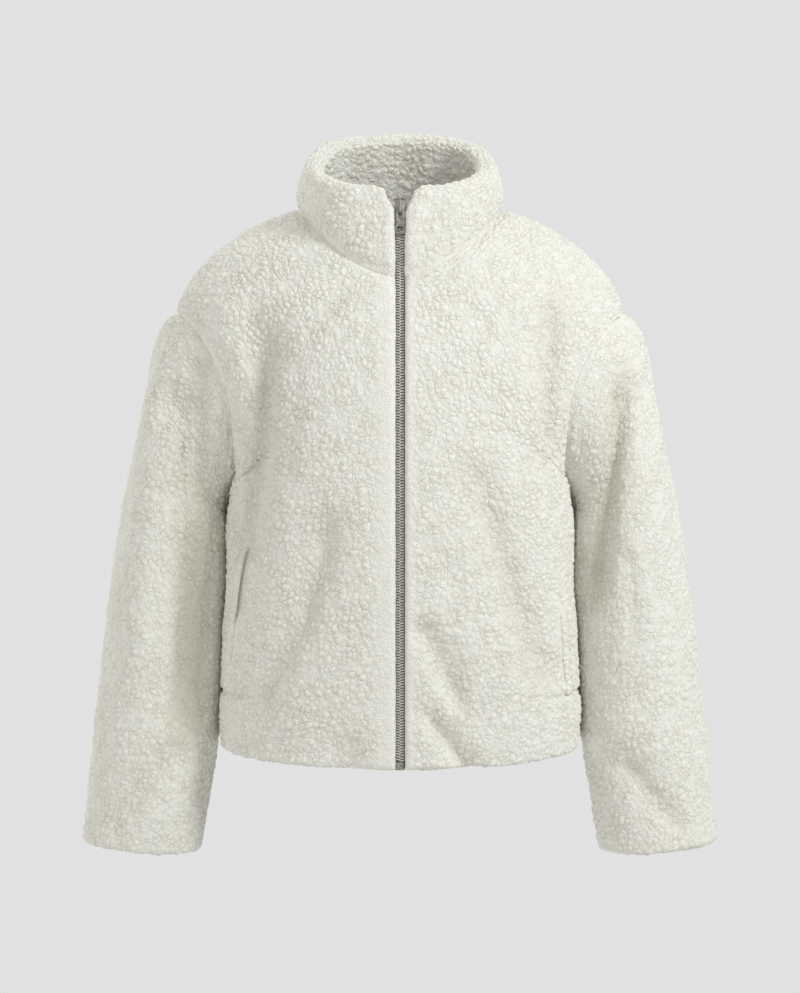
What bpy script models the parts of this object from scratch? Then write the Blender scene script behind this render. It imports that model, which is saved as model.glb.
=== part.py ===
"""Cropped sherpa jacket, zipped up and filled out as if worn, with open neck, cuffs and hem.

Metres, +Z up.  The front faces -Y and the wearer's left is at +X.  The origin lies between the
high points of the shoulders, where the wearer holds the jacket.  Every cloth panel is a wall:
its inner side is worked out from the seam lines below, and its outer side is that side moved
out by the thickness of the sherpa.
"""

import math

import bpy
import numpy as np

# Driving sizes
CLOTH = 0.008  # thickness of the sherpa, knit ground and pile together
SEAM_GAP = 0.0003  # between two pieces at a seam
SLOT_HALF = 0.0050  # half the slot between the two front edges, where the zip shows
PRESSED_SHARE = 0.68  # how much of the sherpa's thickness is pressed out under the arm
PRESSED_REACH = 0.035  # how far from the underarm point it is pressed

# Mesh counts, shared by all pieces that meet at a seam
SIDE_ROWS = 13  # hem to underarm
ARM_ROWS = 11  # underarm to shoulder point
PANEL_ROWS = SIDE_ROWS + ARM_ROWS
PANEL_COLUMNS = 13
FRONT_NECK_ROWS = 6
BACK_NECK_ROWS = 5
CAP_ROWS = 6  # armhole to the first full ring of the sleeve
SLEEVE_ROWS = 12  # first full ring to cuff

# Seam lines of the wearer's left half, on the inner side of the cloth.  Columns: the point x, y, z
# and the way in which the cloth runs over it, from the centre line out to the side.
CENTRE_FRONT = [
    (SLOT_HALF, -0.116, -0.514, 1.0, 0.0, 0.0),
    (SLOT_HALF, -0.124, -0.420, 1.0, 0.0, 0.0),
    (SLOT_HALF, -0.129, -0.310, 1.0, 0.0, 0.0),
    (SLOT_HALF, -0.124, -0.200, 1.0, 0.0, 0.0),
    (SLOT_HALF, -0.108, -0.115, 1.0, 0.0, 0.0),
    (SLOT_HALF, -0.090, -0.060, 1.0, 0.0, 0.0),
]
FRONT_NECK = [
    (SLOT_HALF, -0.090, -0.060, 1.0, 0.0, 0.0),
    (0.038, -0.081, -0.048, 0.9, -0.1, -0.4),
    (0.066, -0.056, -0.026, 0.9, 0.0, -0.35),
    (0.090, 0.000, -0.001, 0.95, 0.0, -0.30),
]
CENTRE_BACK = [
    (0.0, 0.104, -0.514, 1.0, 0.0, 0.0),
    (0.0, 0.110, -0.400, 1.0, 0.0, 0.0),
    (0.0, 0.119, -0.270, 1.0, 0.0, 0.0),
    (0.0, 0.122, -0.160, 1.0, 0.0, 0.0),
    (0.0, 0.106, -0.065, 1.0, 0.0, 0.0),
    (0.0, 0.072, 0.008, 1.0, 0.0, 0.0),
]
BACK_NECK = [
    (0.0, 0.072, 0.008, 1.0, 0.0, 0.0),
    (0.045, 0.064, 0.006, 0.9, 0.2, -0.3),
    (0.078, 0.036, 0.002, 0.9, 0.1, -0.3),
    (0.090, 0.000, -0.001, 0.95, 0.0, -0.30),
]
SIDE_SEAM = [
    (0.158, 0.0, -0.508, -0.40, 1.0, 0.0),
    (0.157, 0.0, -0.430, -0.40, 1.0, 0.0),
    (0.152, 0.0, -0.340, -0.32, 1.0, 0.0),
    (0.149, 0.0, -0.262, -0.25, 1.0, 0.0),
]
FRONT_ARMHOLE = [
    (0.149, 0.000, -0.262, -0.25, 1.0, 0.0),
    (0.150, -0.030, -0.242, 0.08, 1.0, 0.0),
    (0.154, -0.052, -0.202, 0.42, 0.9, -0.1),
    (0.161, -0.061, -0.162, 0.70, 0.55, -0.4),
    (0.178, -0.051, -0.127, 0.65, 0.4, -0.65),
    (0.195, -0.030, -0.106, 0.40, 0.2, -0.88),
    (0.209, 0.000, -0.098, 0.20, 0.0, -0.98),
]
BACK_ARMHOLE = [
    (0.149, 0.000, -0.262, -0.25, 1.0, 0.0),
    (0.150, 0.030, -0.242, 0.08, 1.0, 0.0),
    (0.154, 0.052, -0.202, 0.42, 0.9, -0.1),
    (0.161, 0.061, -0.162, 0.70, 0.55, -0.4),
    (0.178, 0.051, -0.127, 0.65, 0.4, -0.65),
    (0.195, 0.030, -0.106, 0.40, 0.2, -0.88),
    (0.209, 0.000, -0.098, 0.20, 0.0, -0.98),
]
BODY_FULLNESS = 1.40  # how far a row of cloth keeps its way before it turns, in chord lengths
SHOULDER_FULLNESS = 1.20
SIDE_FULLNESS = 0.85  # the same at the side seam, as a share of that at the centre

# The sleeve leaves the armhole along these ways.  Columns: share of the armhole from underarm to
# shoulder point, way x, y, z, and how far the cloth keeps that way.
SLEEVE_RUN = [
    (0.0, 0.70, 0.0, 0.50, 0.045),
    (0.15, 0.85, 0.35, 0.10, 0.050),
    (0.35, 0.85, 0.40, -0.30, 0.055),
    (0.7, 0.65, 0.25, -0.70, 0.070),
    (1.0, 0.80, 0.0, -0.60, 0.085),
]
# Rings of the left sleeve on the inner side of the cloth.  Columns: outer edge x and z, inner edge
# x and z, half depth front to back, and how far back the ring sits.
SLEEVE_RINGS = [
    (0.237, -0.176, 0.177, -0.290, 0.058, 0.003),
    (0.250, -0.240, 0.1715, -0.335, 0.056, 0.003),
    (0.264, -0.310, 0.1735, -0.385, 0.054, 0.002),
    (0.275, -0.390, 0.177, -0.442, 0.052, 0.000),
    (0.286, -0.480, 0.184, -0.510, 0.049, -0.003),
    (0.294, -0.560, 0.194, -0.572, 0.045, -0.006),
    (0.299, -0.603, 0.200, -0.611, 0.040, -0.008),
]

# The collar rises from the neckline to this loop, the middle of its rolled top edge.  Columns:
# share of the way round from centre front to centre back, x, y, z.
COLLAR_TOP = [
    (0.00, SLOT_HALF, -0.077, 0.014),
    (0.22, 0.050, -0.066, 0.018),
    (0.42, 0.078, -0.030, 0.030),
    (0.58, 0.080, 0.010, 0.046),
    (0.78, 0.058, 0.051, 0.062),
    (1.00, 0.000, 0.066, 0.068),
]
COLLAR_ROLL = 0.0105  # radius of the rolled top edge, where the sherpa lies double
COLLAR_BULGE = 0.003  # how far the outer side swells between seam and roll
COLLAR_WALL_ROWS = 5
COLLAR_ROLL_ROWS = 6

# Main folds.  Columns: piece, side that it shows from, x and z of its upper end, x and z of its
# lower end, half width, and height, which is negative in a valley.
FOLDS = [
    ("body", "front", -0.160, -0.100, -0.158, -0.215, 0.014, 0.006),
    ("body", "front", -0.122, -0.120, -0.128, -0.225, 0.019, -0.009),
    ("body", "front", -0.128, -0.225, -0.141, -0.300, 0.019, -0.009),
    ("body", "front", -0.066, -0.290, -0.086, -0.375, 0.018, -0.007),
    ("body", "front", -0.086, -0.375, -0.130, -0.455, 0.016, -0.006),
    ("body", "front", -0.054, -0.485, -0.050, -0.540, 0.014, -0.005),
    ("body", "front", 0.036, -0.390, 0.058, -0.452, 0.0095, -0.008),
    ("body", "front", 0.037, -0.474, 0.068, -0.520, 0.009, -0.007),
    ("body", "front", 0.074, -0.250, 0.128, -0.425, 0.018, -0.007),
    ("body", "front", 0.112, -0.400, 0.104, -0.500, 0.018, 0.004),
    ("body", "front", 0.142, -0.100, 0.136, -0.210, 0.015, -0.007),
    ("body", "back", -0.104, -0.120, -0.126, -0.330, 0.020, -0.009),
    ("body", "back", 0.098, -0.140, 0.130, -0.340, 0.020, -0.010),
    ("body", "back", -0.064, -0.340, -0.028, -0.520, 0.020, -0.008),
    ("body", "back", 0.048, -0.310, 0.082, -0.500, 0.020, -0.008),
    ("body", "back", -0.030, -0.052, 0.036, -0.066, 0.016, -0.006),
    ("sleeve", "front", -0.204, -0.180, -0.206, -0.450, 0.016, -0.010),
    ("sleeve", "front", -0.232, -0.200, -0.246, -0.420, 0.014, 0.004),
    ("sleeve", "front", -0.215, -0.500, -0.264, -0.565, 0.016, -0.006),
    ("sleeve", "front", 0.208, -0.170, 0.186, -0.350, 0.016, -0.011),
    ("sleeve", "front", 0.232, -0.230, 0.222, -0.430, 0.014, 0.004),
    ("sleeve", "front", 0.216, -0.520, 0.262, -0.580, 0.016, -0.006),
    ("sleeve", "back", -0.210, -0.200, -0.226, -0.410, 0.016, -0.009),
    ("sleeve", "back", 0.212, -0.190, 0.222, -0.390, 0.016, -0.009),
    ("sleeve", "back", -0.215, -0.480, -0.265, -0.540, 0.016, -0.006),
    ("sleeve", "back", 0.220, -0.470, 0.262, -0.540, 0.016, -0.006),
]
FOLD_FADE = 0.030  # a fold fades out over this length past its ends
SEAM_KEEP = 3.0  # rows or columns next to the armhole and neckline that the folds leave alone
FOLD_FACING = 1.6  # how soon a fold reaches its height on cloth that turns towards its side

# Zip
CHAIN_HALF = 0.0039  # half the width of the closed teeth
CHAIN_DEPTH = 0.0036
TAPE_THICKNESS = 0.0010
TAPE_INNER = 0.0010  # from the centre line to the tape's toothed edge
TAPE_SEWN = 0.45  # how far the tape reaches under the front's first column
TAPE_ENDS_AT = 0.80  # where its sewn part ends on the last row under the neckline
TAPE_SLOT_ROWS = 5
TAPE_BACK_OFF = 0.0012  # from the cloth's inner side to the tape
CHAIN_STATIONS = 40
STOP_STATIONS = 4
STOP_LENGTH = 0.0075
STOP_HALF = 0.0042
STOP_DEPTH = 0.0042
SLIDER_BOTTOM_Z = -0.0015
SLIDER_LENGTH = 0.0150
SLIDER_HALF = 0.0044
SLIDER_NECK_HALF = 0.0030
SLIDER_DEPTH = 0.0052
CROWN_HALF = 0.0009  # half the width of the loop that holds the pull tab
CROWN_BAR = 0.0011
CROWN_BELOW = 0.0014  # from the pull tab's axis to the lower end of the loop's window
CROWN_ABOVE = 0.0088  # from the axis to its upper end
CROWN_CLEAR = 0.0024  # from the slider's face to the underside of the loop
CROWN_SUNK = 0.0006
SLIDER_BACK = 0.0001
PIVOT_DOWN = 0.0122  # from the slider's top end to the pull tab's axis
TAB_HALF = 0.0042
TAB_LENGTH = 0.0226
TAB_THICKNESS = 0.0014
TAB_CORNER = 0.0014
TAB_RIM = 0.0016
TAB_WINDOW_DOWN = 0.0150  # from the axis to the top of the tab's window
TAB_EYE_HALF = 0.0016
TAB_EYE_LENGTH = 0.0046

# Pocket welts: a narrow band of sherpa on each front.  Columns: side, row share and column share
# of the welt's lower end and of its upper end on the front panel.
WELTS = [
    ("right", 0.175, 0.705, 0.390, 0.635),
    ("left", 0.118, 0.685, 0.270, 0.650),
]
WELT_HALF = 0.007
WELT_THICKNESS = 0.0025
WELT_OFF = 0.0008  # from the front's outer side to the welt
WELT_ROWS = 10


def unit(vectors):
    """Vectors along the last axis, each at length 1."""
    return vectors / np.maximum(np.linalg.norm(vectors, axis=-1, keepdims=True), 1e-12)


def smooth(share):
    """Ramp from 0 to 1 with flat ends."""
    share = np.clip(share, 0.0, 1.0)
    return share * share * (3.0 - 2.0 * share)


def hermite(start, end, start_run, end_run, share):
    """Cubic from start to end that leaves along start_run and arrives along end_run."""
    s = np.asarray(share)[..., None]
    return (
        start * (2 * s**3 - 3 * s**2 + 1)
        + start_run * (s**3 - 2 * s**2 + s)
        + end * (3 * s**2 - 2 * s**3)
        + end_run * (s**3 - s**2)
    )


def run_through(knots, count, fine=24):
    """Rows, one more than count, on a smooth curve through the knots, evenly spaced in x, y and z."""
    knots = np.asarray(knots, float)
    run = np.gradient(knots, axis=0)
    run[0] = knots[1] - knots[0]
    run[-1] = knots[-1] - knots[-2]
    share = np.arange(fine) / fine
    parts = [hermite(knots[i], knots[i + 1], run[i], run[i + 1], share) for i in range(len(knots) - 1)]
    dense = np.vstack(parts + [knots[-1:]])
    steps = np.linalg.norm(np.diff(dense[:, :3], axis=0), axis=1)
    length = np.concatenate([[0.0], np.cumsum(steps)])
    wanted = np.linspace(0.0, length[-1], count + 1)
    return np.column_stack([np.interp(wanted, length, column) for column in dense.T])


def along_table(table, share):
    """Columns after the first, read from a table at the given shares of its first column."""
    table = np.asarray(table, float)
    return np.column_stack([np.interp(share, table[:, 0], column) for column in table[:, 1:].T])


def half_panel(centre, neck, neck_rows, armhole, facing):
    """Grid of the left half of a front or back: rows from hem to shoulder, columns from centre to side."""
    inner = np.vstack([run_through(centre, PANEL_ROWS - neck_rows), run_through(neck, neck_rows)[1:]])
    outer = np.vstack([run_through(SIDE_SEAM, SIDE_ROWS), run_through(armhole, ARM_ROWS)[1:]])
    outer[:, 4] *= facing
    chord = np.linalg.norm(outer[:, :3] - inner[:, :3], axis=1, keepdims=True)
    rise = (np.arange(PANEL_ROWS + 1) - SIDE_ROWS) / ARM_ROWS
    fullness = BODY_FULLNESS + (SHOULDER_FULLNESS - BODY_FULLNESS) * smooth(rise)[:, None]
    start_run = unit(inner[:, 3:]) * chord * fullness
    end_run = unit(outer[:, 3:]) * chord * fullness * SIDE_FULLNESS
    share = np.linspace(0.0, 1.0, PANEL_COLUMNS + 1)[None, :]
    return hermite(inner[:, None, :3], outer[:, None, :3], start_run[:, None], end_run[:, None], share)


def sleeve_grid(front, back):
    """Closed grid of the left sleeve: rows from cuff to armhole, columns round it from the underarm."""
    loop = np.vstack([front[SIDE_ROWS:, -1], back[SIDE_ROWS:-1, -1][::-1]])
    rise = np.linspace(0, 1, ARM_ROWS + 1)
    share = np.concatenate([rise, rise[-2::-1]])
    facing = np.concatenate([np.ones(ARM_ROWS + 1), -np.ones(ARM_ROWS)])
    run = along_table(SLEEVE_RUN, share)
    run[:, 1] *= facing
    loop_run = unit(run[:, :3]) * run[:, 3:]
    turn = np.pi * np.concatenate([rise, 2.0 - rise[-2::-1]])[:, None]
    rings = []
    for outer_x, outer_z, inner_x, inner_z, half_depth, back_by in SLEEVE_RINGS:
        middle = np.array([outer_x + inner_x, 2 * back_by, outer_z + inner_z]) / 2
        reach = np.array([outer_x - inner_x, 0.0, outer_z - inner_z]) / 2
        depth = np.array([0.0, half_depth, 0.0])
        rings.append(middle - np.cos(turn) * reach - np.sin(turn) * depth)
    rings = np.array(rings)
    tube = np.stack([run_through(rings[:, i], SLEEVE_ROWS) for i in range(len(turn))], axis=1)
    far = np.linalg.norm(tube[0] - loop, axis=1, keepdims=True)
    first_run = unit(tube[1] - tube[0]) * far
    share = np.linspace(0, 1, CAP_ROWS + 1)[:-1, None]
    cap = hermite(loop[None], tube[0][None], loop_run[None], first_run[None], share)
    return np.vstack([cap, tube])[::-1, :-1]


def neckline(front, back):
    """Points of the left half of the neckline, centre front to centre back."""
    return np.vstack([front[-FRONT_NECK_ROWS - 1 :, 0], back[-BACK_NECK_ROWS - 1 : -1, 0][::-1]])


def collar_top(neck):
    """Middle of the collar's rolled edge above each point of the left half of the neckline."""
    steps = np.linalg.norm(np.diff(neck, axis=0), axis=1)
    share = np.concatenate([[0.0], np.cumsum(steps)]) / steps.sum()
    even = run_through(np.asarray(COLLAR_TOP), len(neck) * 8)
    return np.column_stack([np.interp(share, even[:, 0], column) for column in even[:, 1:].T])


def collar_sections(neck, out, top):
    """Grid of the collar's left half: rows up the outer side, over the roll and down the inner side."""
    along = unit(np.gradient(top, axis=0))
    along[0] = (1.0, 0.0, 0.0)
    along[-1] = (-1.0, 0.0, 0.0)
    away = unit(np.cross(along, top - neck))
    rise = np.cross(away, along)
    up = np.linspace(0.0, 1.0, COLLAR_WALL_ROWS + 1)[:, None, None]
    swell = COLLAR_BULGE * np.sin(np.pi * up) * away
    outer = (neck + out * CLOTH) * (1 - up) + (top + away * COLLAR_ROLL) * up + swell
    inner = (neck * (1 - up) + (top - away * COLLAR_ROLL) * up)[::-1]
    angle = (np.pi * np.arange(1, COLLAR_ROLL_ROWS) / COLLAR_ROLL_ROWS)[:, None, None]
    roll = top + COLLAR_ROLL * (np.cos(angle) * away + np.sin(angle) * rise)
    return np.vstack([outer, roll, inner])


def mirrored(grid):
    """The grid on the other side of the centre plane, its columns turned round so that it faces out."""
    return (grid * np.array([-1.0, 1.0, 1.0]))[:, ::-1]


def welded_normals(grids):
    """Outward normal at each point of the grids, the same for all grids that share the point."""
    sums = {}
    keys = {}
    for name, (grid, closed) in grids.items():
        keys[name] = [[tuple(np.round(point * 1e6).astype(int)) for point in row] for row in grid]
        rows, columns = grid.shape[:2]
        for r in range(rows - 1):
            for c in range(columns if closed else columns - 1):
                corners = [(r, c), (r, (c + 1) % columns), (r + 1, (c + 1) % columns), (r + 1, c)]
                a, b, d, e = (grid[i] for i in corners)
                normal = np.cross(d - a, e - b)
                for i, j in corners:
                    key = keys[name][i][j]
                    sums[key] = sums.get(key, 0.0) + normal
    normals = {}
    for name, rows in keys.items():
        normals[name] = unit(np.array([[sums[key] for key in row] for row in rows]))
        at_slot = np.abs(np.abs(grids[name][0][..., 0]) - SLOT_HALF) < 1e-6
        normals[name][at_slot, 0] = 0.0
        normals[name] = unit(normals[name])
    return normals


def fold_heights(piece, points, normals):
    """How far the main folds move each point along its normal."""
    ridges, valleys = np.zeros(points.shape[:2]), np.zeros(points.shape[:2])
    flat = points[..., [0, 2]]
    for owner, side, x0, z0, x1, z1, half_width, fold_height in FOLDS:
        if owner != piece:
            continue
        start, run = np.array([x0, z0]), np.array([x1 - x0, z1 - z0])
        length = np.linalg.norm(run)
        at = (flat - start) @ run / length
        beyond = np.maximum(np.maximum(-at, at - length), 0.0)
        aside = np.linalg.norm(flat - start - np.clip(at, 0, length)[..., None] * run / length, axis=-1)
        across = np.sqrt(np.maximum(aside**2 - beyond**2, 0.0))
        facing = smooth(normals[..., 1] * (-FOLD_FACING if side == "front" else FOLD_FACING))
        fade = 1 - smooth(beyond / FOLD_FADE)
        height = fold_height * np.exp(-((across / half_width) ** 2)) * fade * facing
        ridges, valleys = np.maximum(ridges, height), np.minimum(valleys, height)
    return ridges + valleys


def centre_column(name):
    """Index of the column of a half panel that lies on the centre line and the neckline."""
    return 0 if name in ("front_left", "back_right") else -1


def thickness(points):
    """Thickness of the sherpa at each point: less where it is pressed under the arm."""
    underarm = np.array(SIDE_SEAM[-1][:3])
    far = np.linalg.norm(np.abs(points) * (1, 0, 0) + points * (0, 1, 1) - underarm, axis=-1, keepdims=True)
    return CLOTH * (1 - PRESSED_SHARE * np.exp(-((far / PRESSED_REACH) ** 2)))


def away_from_seams(name, shape):
    """Weight that keeps the folds off the armhole and neckline, so that both pieces meet there."""
    rows, columns = np.indices(shape)
    if name.startswith("sleeve"):
        return smooth((shape[0] - 1 - rows) / SEAM_KEEP)
    to_centre = columns if centre_column(name) == 0 else shape[1] - 1 - columns
    to_side = shape[1] - 1 - to_centre
    past_side = smooth((rows - SIDE_ROWS) / SEAM_KEEP + 1)
    past_neck = smooth((rows - PANEL_ROWS + FRONT_NECK_ROWS) / SEAM_KEEP + 1)
    by_armhole = past_side * (1 - smooth(to_side / SEAM_KEEP))
    by_neck = past_neck * (1 - smooth(to_centre / SEAM_KEEP))
    return (1 - by_armhole) * (1 - by_neck)


def drawn_in(name, grid):
    """The grid with its border moved in by half the gap that two pieces keep at a seam."""
    grid = grid.copy()
    half = SEAM_GAP / 2
    for edge, nextdoor in ((0, 1), (-1, -2)):
        grid[edge] += unit(grid[nextdoor] - grid[edge]) * half
    if name.startswith(("front", "back")):
        centre = centre_column(name)
        side = -1 - centre
        to_centre, to_side = (1, -2) if centre == 0 else (-2, 1)
        grid[:, side] += unit(grid[:, to_side] - grid[:, side]) * half
        # The back has no centre seam, so its centre column moves only at the neck.
        first = 0 if name.startswith("front") else PANEL_ROWS - BACK_NECK_ROWS + 1
        grid[first:, centre] += unit(grid[first:, to_centre] - grid[first:, centre]) * half
        if first:
            grid[first - 1, centre] += unit(grid[first - 2, centre] - grid[first - 1, centre]) * half
    return grid


def mesh_object(name, points, faces, material, smooth_angle=40):
    """A mesh object from points and faces, shaded smooth but for its sharp edges."""
    mesh = bpy.data.meshes.new(name)
    mesh.from_pydata([tuple(point) for point in points], [], faces)
    mesh.validate()
    mesh.shade_smooth()
    mesh.set_sharp_from_angle(angle=math.radians(smooth_angle))
    mesh.materials.append(material)
    piece = bpy.data.objects.new(name, mesh)
    bpy.context.scene.collection.objects.link(piece)
    return piece


def split_rim(points, inner_i, inner_j, outer_j, outer_i):
    """Two triangles across a wall's thickness, split alike on both sides of a seam to keep the gap even."""
    skew = np.array([0.7, 1.3, 1.9])
    if points[inner_i] @ skew > points[inner_j] @ skew:
        return [[inner_i, inner_j, outer_j], [inner_i, outer_j, outer_i]]
    return [[inner_i, inner_j, outer_i], [inner_j, outer_j, outer_i]]


def wall(name, patches, material, closed=False):
    """A closed wall from patches, each the grids of its inner and outer side; shared points are merged."""
    index, points, quads = {}, [], []

    def vertex(inner, outer):
        key = tuple(np.round(inner * 1e7).astype(int))
        if key not in index:
            index[key] = len(points) // 2
            points.extend((inner, outer))
        return index[key]

    for inner, outer in patches:
        rows, columns = inner.shape[:2]
        ids = [[vertex(inner[r, c], outer[r, c]) for c in range(columns)] for r in range(rows)]
        for r in range(rows - 1):
            for c in range(columns if closed else columns - 1):
                d = (c + 1) % columns
                quads.append((ids[r][c], ids[r][d], ids[r + 1][d], ids[r + 1][c]))
    faces = [[2 * i + 1 for i in quad] for quad in quads]
    faces += [[2 * i for i in reversed(quad)] for quad in quads]
    edges = {(quad[i], quad[(i + 1) % 4]) for quad in quads for i in range(4)}
    for i, j in sorted(edges):
        if (j, i) not in edges:
            faces += split_rim(points, 2 * i, 2 * j, 2 * j + 1, 2 * i + 1)
    return mesh_object(name, points, faces, material)


def bar(name, sections, material):
    """A closed solid through sections of the same number of points, with a face at each end."""
    rows, columns = sections.shape[:2]
    points = sections.reshape(-1, 3)
    faces = []
    for r in range(rows):
        for c in range(columns - 1):
            low, high = r * columns + c, (r + 1) % rows * columns + c
            if r < rows - 1:
                faces.append([low, low + 1, high + 1, high])
            else:
                faces += split_rim(points, low, low + 1, high + 1, high)
    faces.append([r * columns for r in range(rows)])
    faces.append([r * columns + columns - 1 for r in reversed(range(rows))])
    return mesh_object(name, points, faces, material)


class ZipLine:
    """The zip's line in the centre plane, on the front's edge and on up the collar's end."""

    def __init__(self, grid, normals):
        rows = PANEL_ROWS - FRONT_NECK_ROWS + 1
        top = np.array(COLLAR_TOP[0][1:])
        rise = top - grid[rows - 1, 0]
        self.points = np.vstack([grid[:rows, 0], top]) * (0.0, 1.0, 1.0)
        self.ways = np.vstack([normals[:rows, 0], unit(np.array([0.0, -rise[2], rise[1]]))])

    def between(self, z_from, z_to, steps):
        """Points and outward ways between two heights."""
        heights = np.linspace(z_from, z_to, steps)
        along = self.points[:, 2]
        points = np.column_stack([np.interp(heights, along, column) for column in self.points.T])
        ways = np.column_stack([np.interp(heights, along, column) for column in self.ways.T])
        return points, unit(ways)

    def place(self, z):
        """A function for the point so far across, up the zip and out of the cloth from a height on it."""
        origin, out = (rows[0] for rows in self.between(z, z, 1))
        up = np.cross(np.array([1.0, 0.0, 0.0]), out)
        up = up if up[2] > 0 else -up
        return lambda x, rise, depth: origin + np.array([x, 0.0, 0.0]) + up * rise + out * depth


def zip_tape(name, side, line, grid, normals, material):
    """One half of the zip's tape, behind the front's edge and on up between the collar's ends."""
    neck_row = PANEL_ROWS - FRONT_NECK_ROWS
    edge, nextdoor = grid[: neck_row + 1, 0].copy(), grid[: neck_row + 1, 1].copy()
    out = normals[: neck_row + 1, 0]
    sewn = edge + (nextdoor - edge) * TAPE_SEWN
    for points in (edge, sewn):
        points[-1] = points[-2] + (points[-1] - points[-2]) * TAPE_ENDS_AT
    toothed = edge * (0.0, 1.0, 1.0) + (TAPE_INNER, 0.0, 0.0)
    wide = np.stack([toothed, edge, sewn], axis=1)
    upper, upper_out = line.between(grid[neck_row, 0, 2], COLLAR_TOP[0][3], TAPE_SLOT_ROWS)
    ways_x = np.linspace(TAPE_INNER, SLOT_HALF - SEAM_GAP, 3)[None, :, None] * np.array([1.0, 0.0, 0.0])
    narrow = upper[:, None] + ways_x
    points = np.vstack([wide, narrow])
    ways = np.vstack([out, upper_out])[:, None]
    front = points - ways * TAPE_BACK_OFF
    back = front - ways * TAPE_THICKNESS
    if side == "right":
        front, back = mirrored(front), mirrored(back)
    wall(name, [(back, front)], material)


def zip_bar(name, line, span, half_width, depth, material):
    """A bar along the zip's line with chamfered edges, just in front of the tapes."""
    points, ways = line.between(*span)
    back_off = SEAM_GAP - TAPE_BACK_OFF
    chamfer = depth / 4
    outline = [
        (half_width - chamfer, depth),
        (chamfer - half_width, depth),
        (-half_width, depth - chamfer),
        (-half_width, 0.0),
        (half_width, 0.0),
        (half_width, depth - chamfer),
    ]
    across = np.array([1.0, 0.0, 0.0])
    rows = [points + across * x + ways * (n + back_off) for x, n in outline]
    bar(name, np.array(rows), material)


def prism(name, outline, place, material):
    """A solid between two copies of an outline; place(a, b, layer) gives each corner of layers 0 and 1."""
    count = len(outline)
    points = [place(a, b, layer) for layer in (0, 1) for a, b in outline]
    faces = [list(range(count))[::-1], list(range(count, 2 * count))]
    faces += [[i, (i + 1) % count, count + (i + 1) % count, count + i] for i in range(count)]
    return mesh_object(name, points, faces, material, smooth_angle=30)


def joined_to(piece, extra, operation):
    """Unite a piece with a helper, or cut the helper out of it."""
    extra.hide_render = True
    extra.display_type = "WIRE"
    change = piece.modifiers.new(extra.name, "BOOLEAN")
    change.operation = operation
    change.object = extra


def rounded_outline(half_width, low, high, radius, steps=4):
    """Corner points of a rectangle with rounded corners, anticlockwise."""
    points = []
    for cx, cy, start in (
        (half_width - radius, high - radius, 0),
        (radius - half_width, high - radius, 90),
        (radius - half_width, low + radius, 180),
        (half_width - radius, low + radius, 270),
    ):
        for i in range(steps + 1):
            angle = math.radians(start + 90 * i / steps)
            points.append((cx + radius * math.cos(angle), cy + radius * math.sin(angle)))
    return points


def slider(place, material):
    """The slider's body, with the loop that holds the pull tab."""
    neck, full, top = SLIDER_NECK_HALF, SLIDER_HALF, SLIDER_LENGTH
    outline = [(neck, 0.0), (full, top * 0.35), (full, top * 0.8), (neck, top)]
    outline += [(-x, up) for x, up in reversed(outline)]
    body = prism(
        "slider",
        outline,
        lambda x, up, layer: place(x, up, SLIDER_BACK + layer * SLIDER_DEPTH),
        material,
    )
    low = SLIDER_LENGTH - PIVOT_DOWN - CROWN_BELOW - CROWN_BAR
    high = SLIDER_LENGTH - PIVOT_DOWN + CROWN_ABOVE + CROWN_BAR
    sunk = SLIDER_BACK + SLIDER_DEPTH - CROWN_SUNK
    face = SLIDER_BACK + SLIDER_DEPTH
    rise = face + CROWN_CLEAR + CROWN_BAR
    loop = [
        (low, sunk),
        (low, rise - CROWN_BAR / 2),
        (low + CROWN_BAR / 2, rise),
        (high - CROWN_BAR / 2, rise),
        (high, rise - CROWN_BAR / 2),
        (high, sunk),
        (high - CROWN_BAR, sunk),
        (high - CROWN_BAR, face + CROWN_CLEAR),
        (low + CROWN_BAR, face + CROWN_CLEAR),
        (low + CROWN_BAR, sunk),
    ]
    crown = prism(
        "slider_crown",
        loop,
        lambda up, out, layer: place(CROWN_HALF * (1 - 2 * layer), up, out),
        material,
    )
    joined_to(body, crown, "UNION")


def pull_tab(place, material):
    """The flat pull tab, whose eye hangs on the slider's loop; its origin is on its axis."""
    axis = place(0.0, SLIDER_LENGTH - PIVOT_DOWN, SLIDER_BACK + SLIDER_DEPTH + CROWN_CLEAR / 2)
    corner = place(0.0, 0.0, 0.0)
    half = TAB_THICKNESS / 2

    def layers(reach):
        return lambda x, up, layer: place(x, up, half * reach * (2 * layer - 1)) - corner

    outline = rounded_outline(TAB_HALF, half - TAB_LENGTH, half, TAB_CORNER)
    tab = prism("pull_tab", outline, layers(1), material)
    eye = rounded_outline(TAB_EYE_HALF, -half - TAB_EYE_LENGTH, -half, TAB_EYE_HALF / 2, steps=2)
    window = rounded_outline(
        TAB_HALF - TAB_RIM, half - TAB_LENGTH + TAB_RIM, -TAB_WINDOW_DOWN, TAB_CORNER / 2, steps=2
    )
    joined_to(tab, prism("pull_tab_eye", eye, layers(3), material), "DIFFERENCE")
    joined_to(tab, prism("pull_tab_window", window, layers(3), material), "DIFFERENCE")
    for piece in [tab] + [change.object for change in tab.modifiers]:
        piece.location = axis


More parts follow.
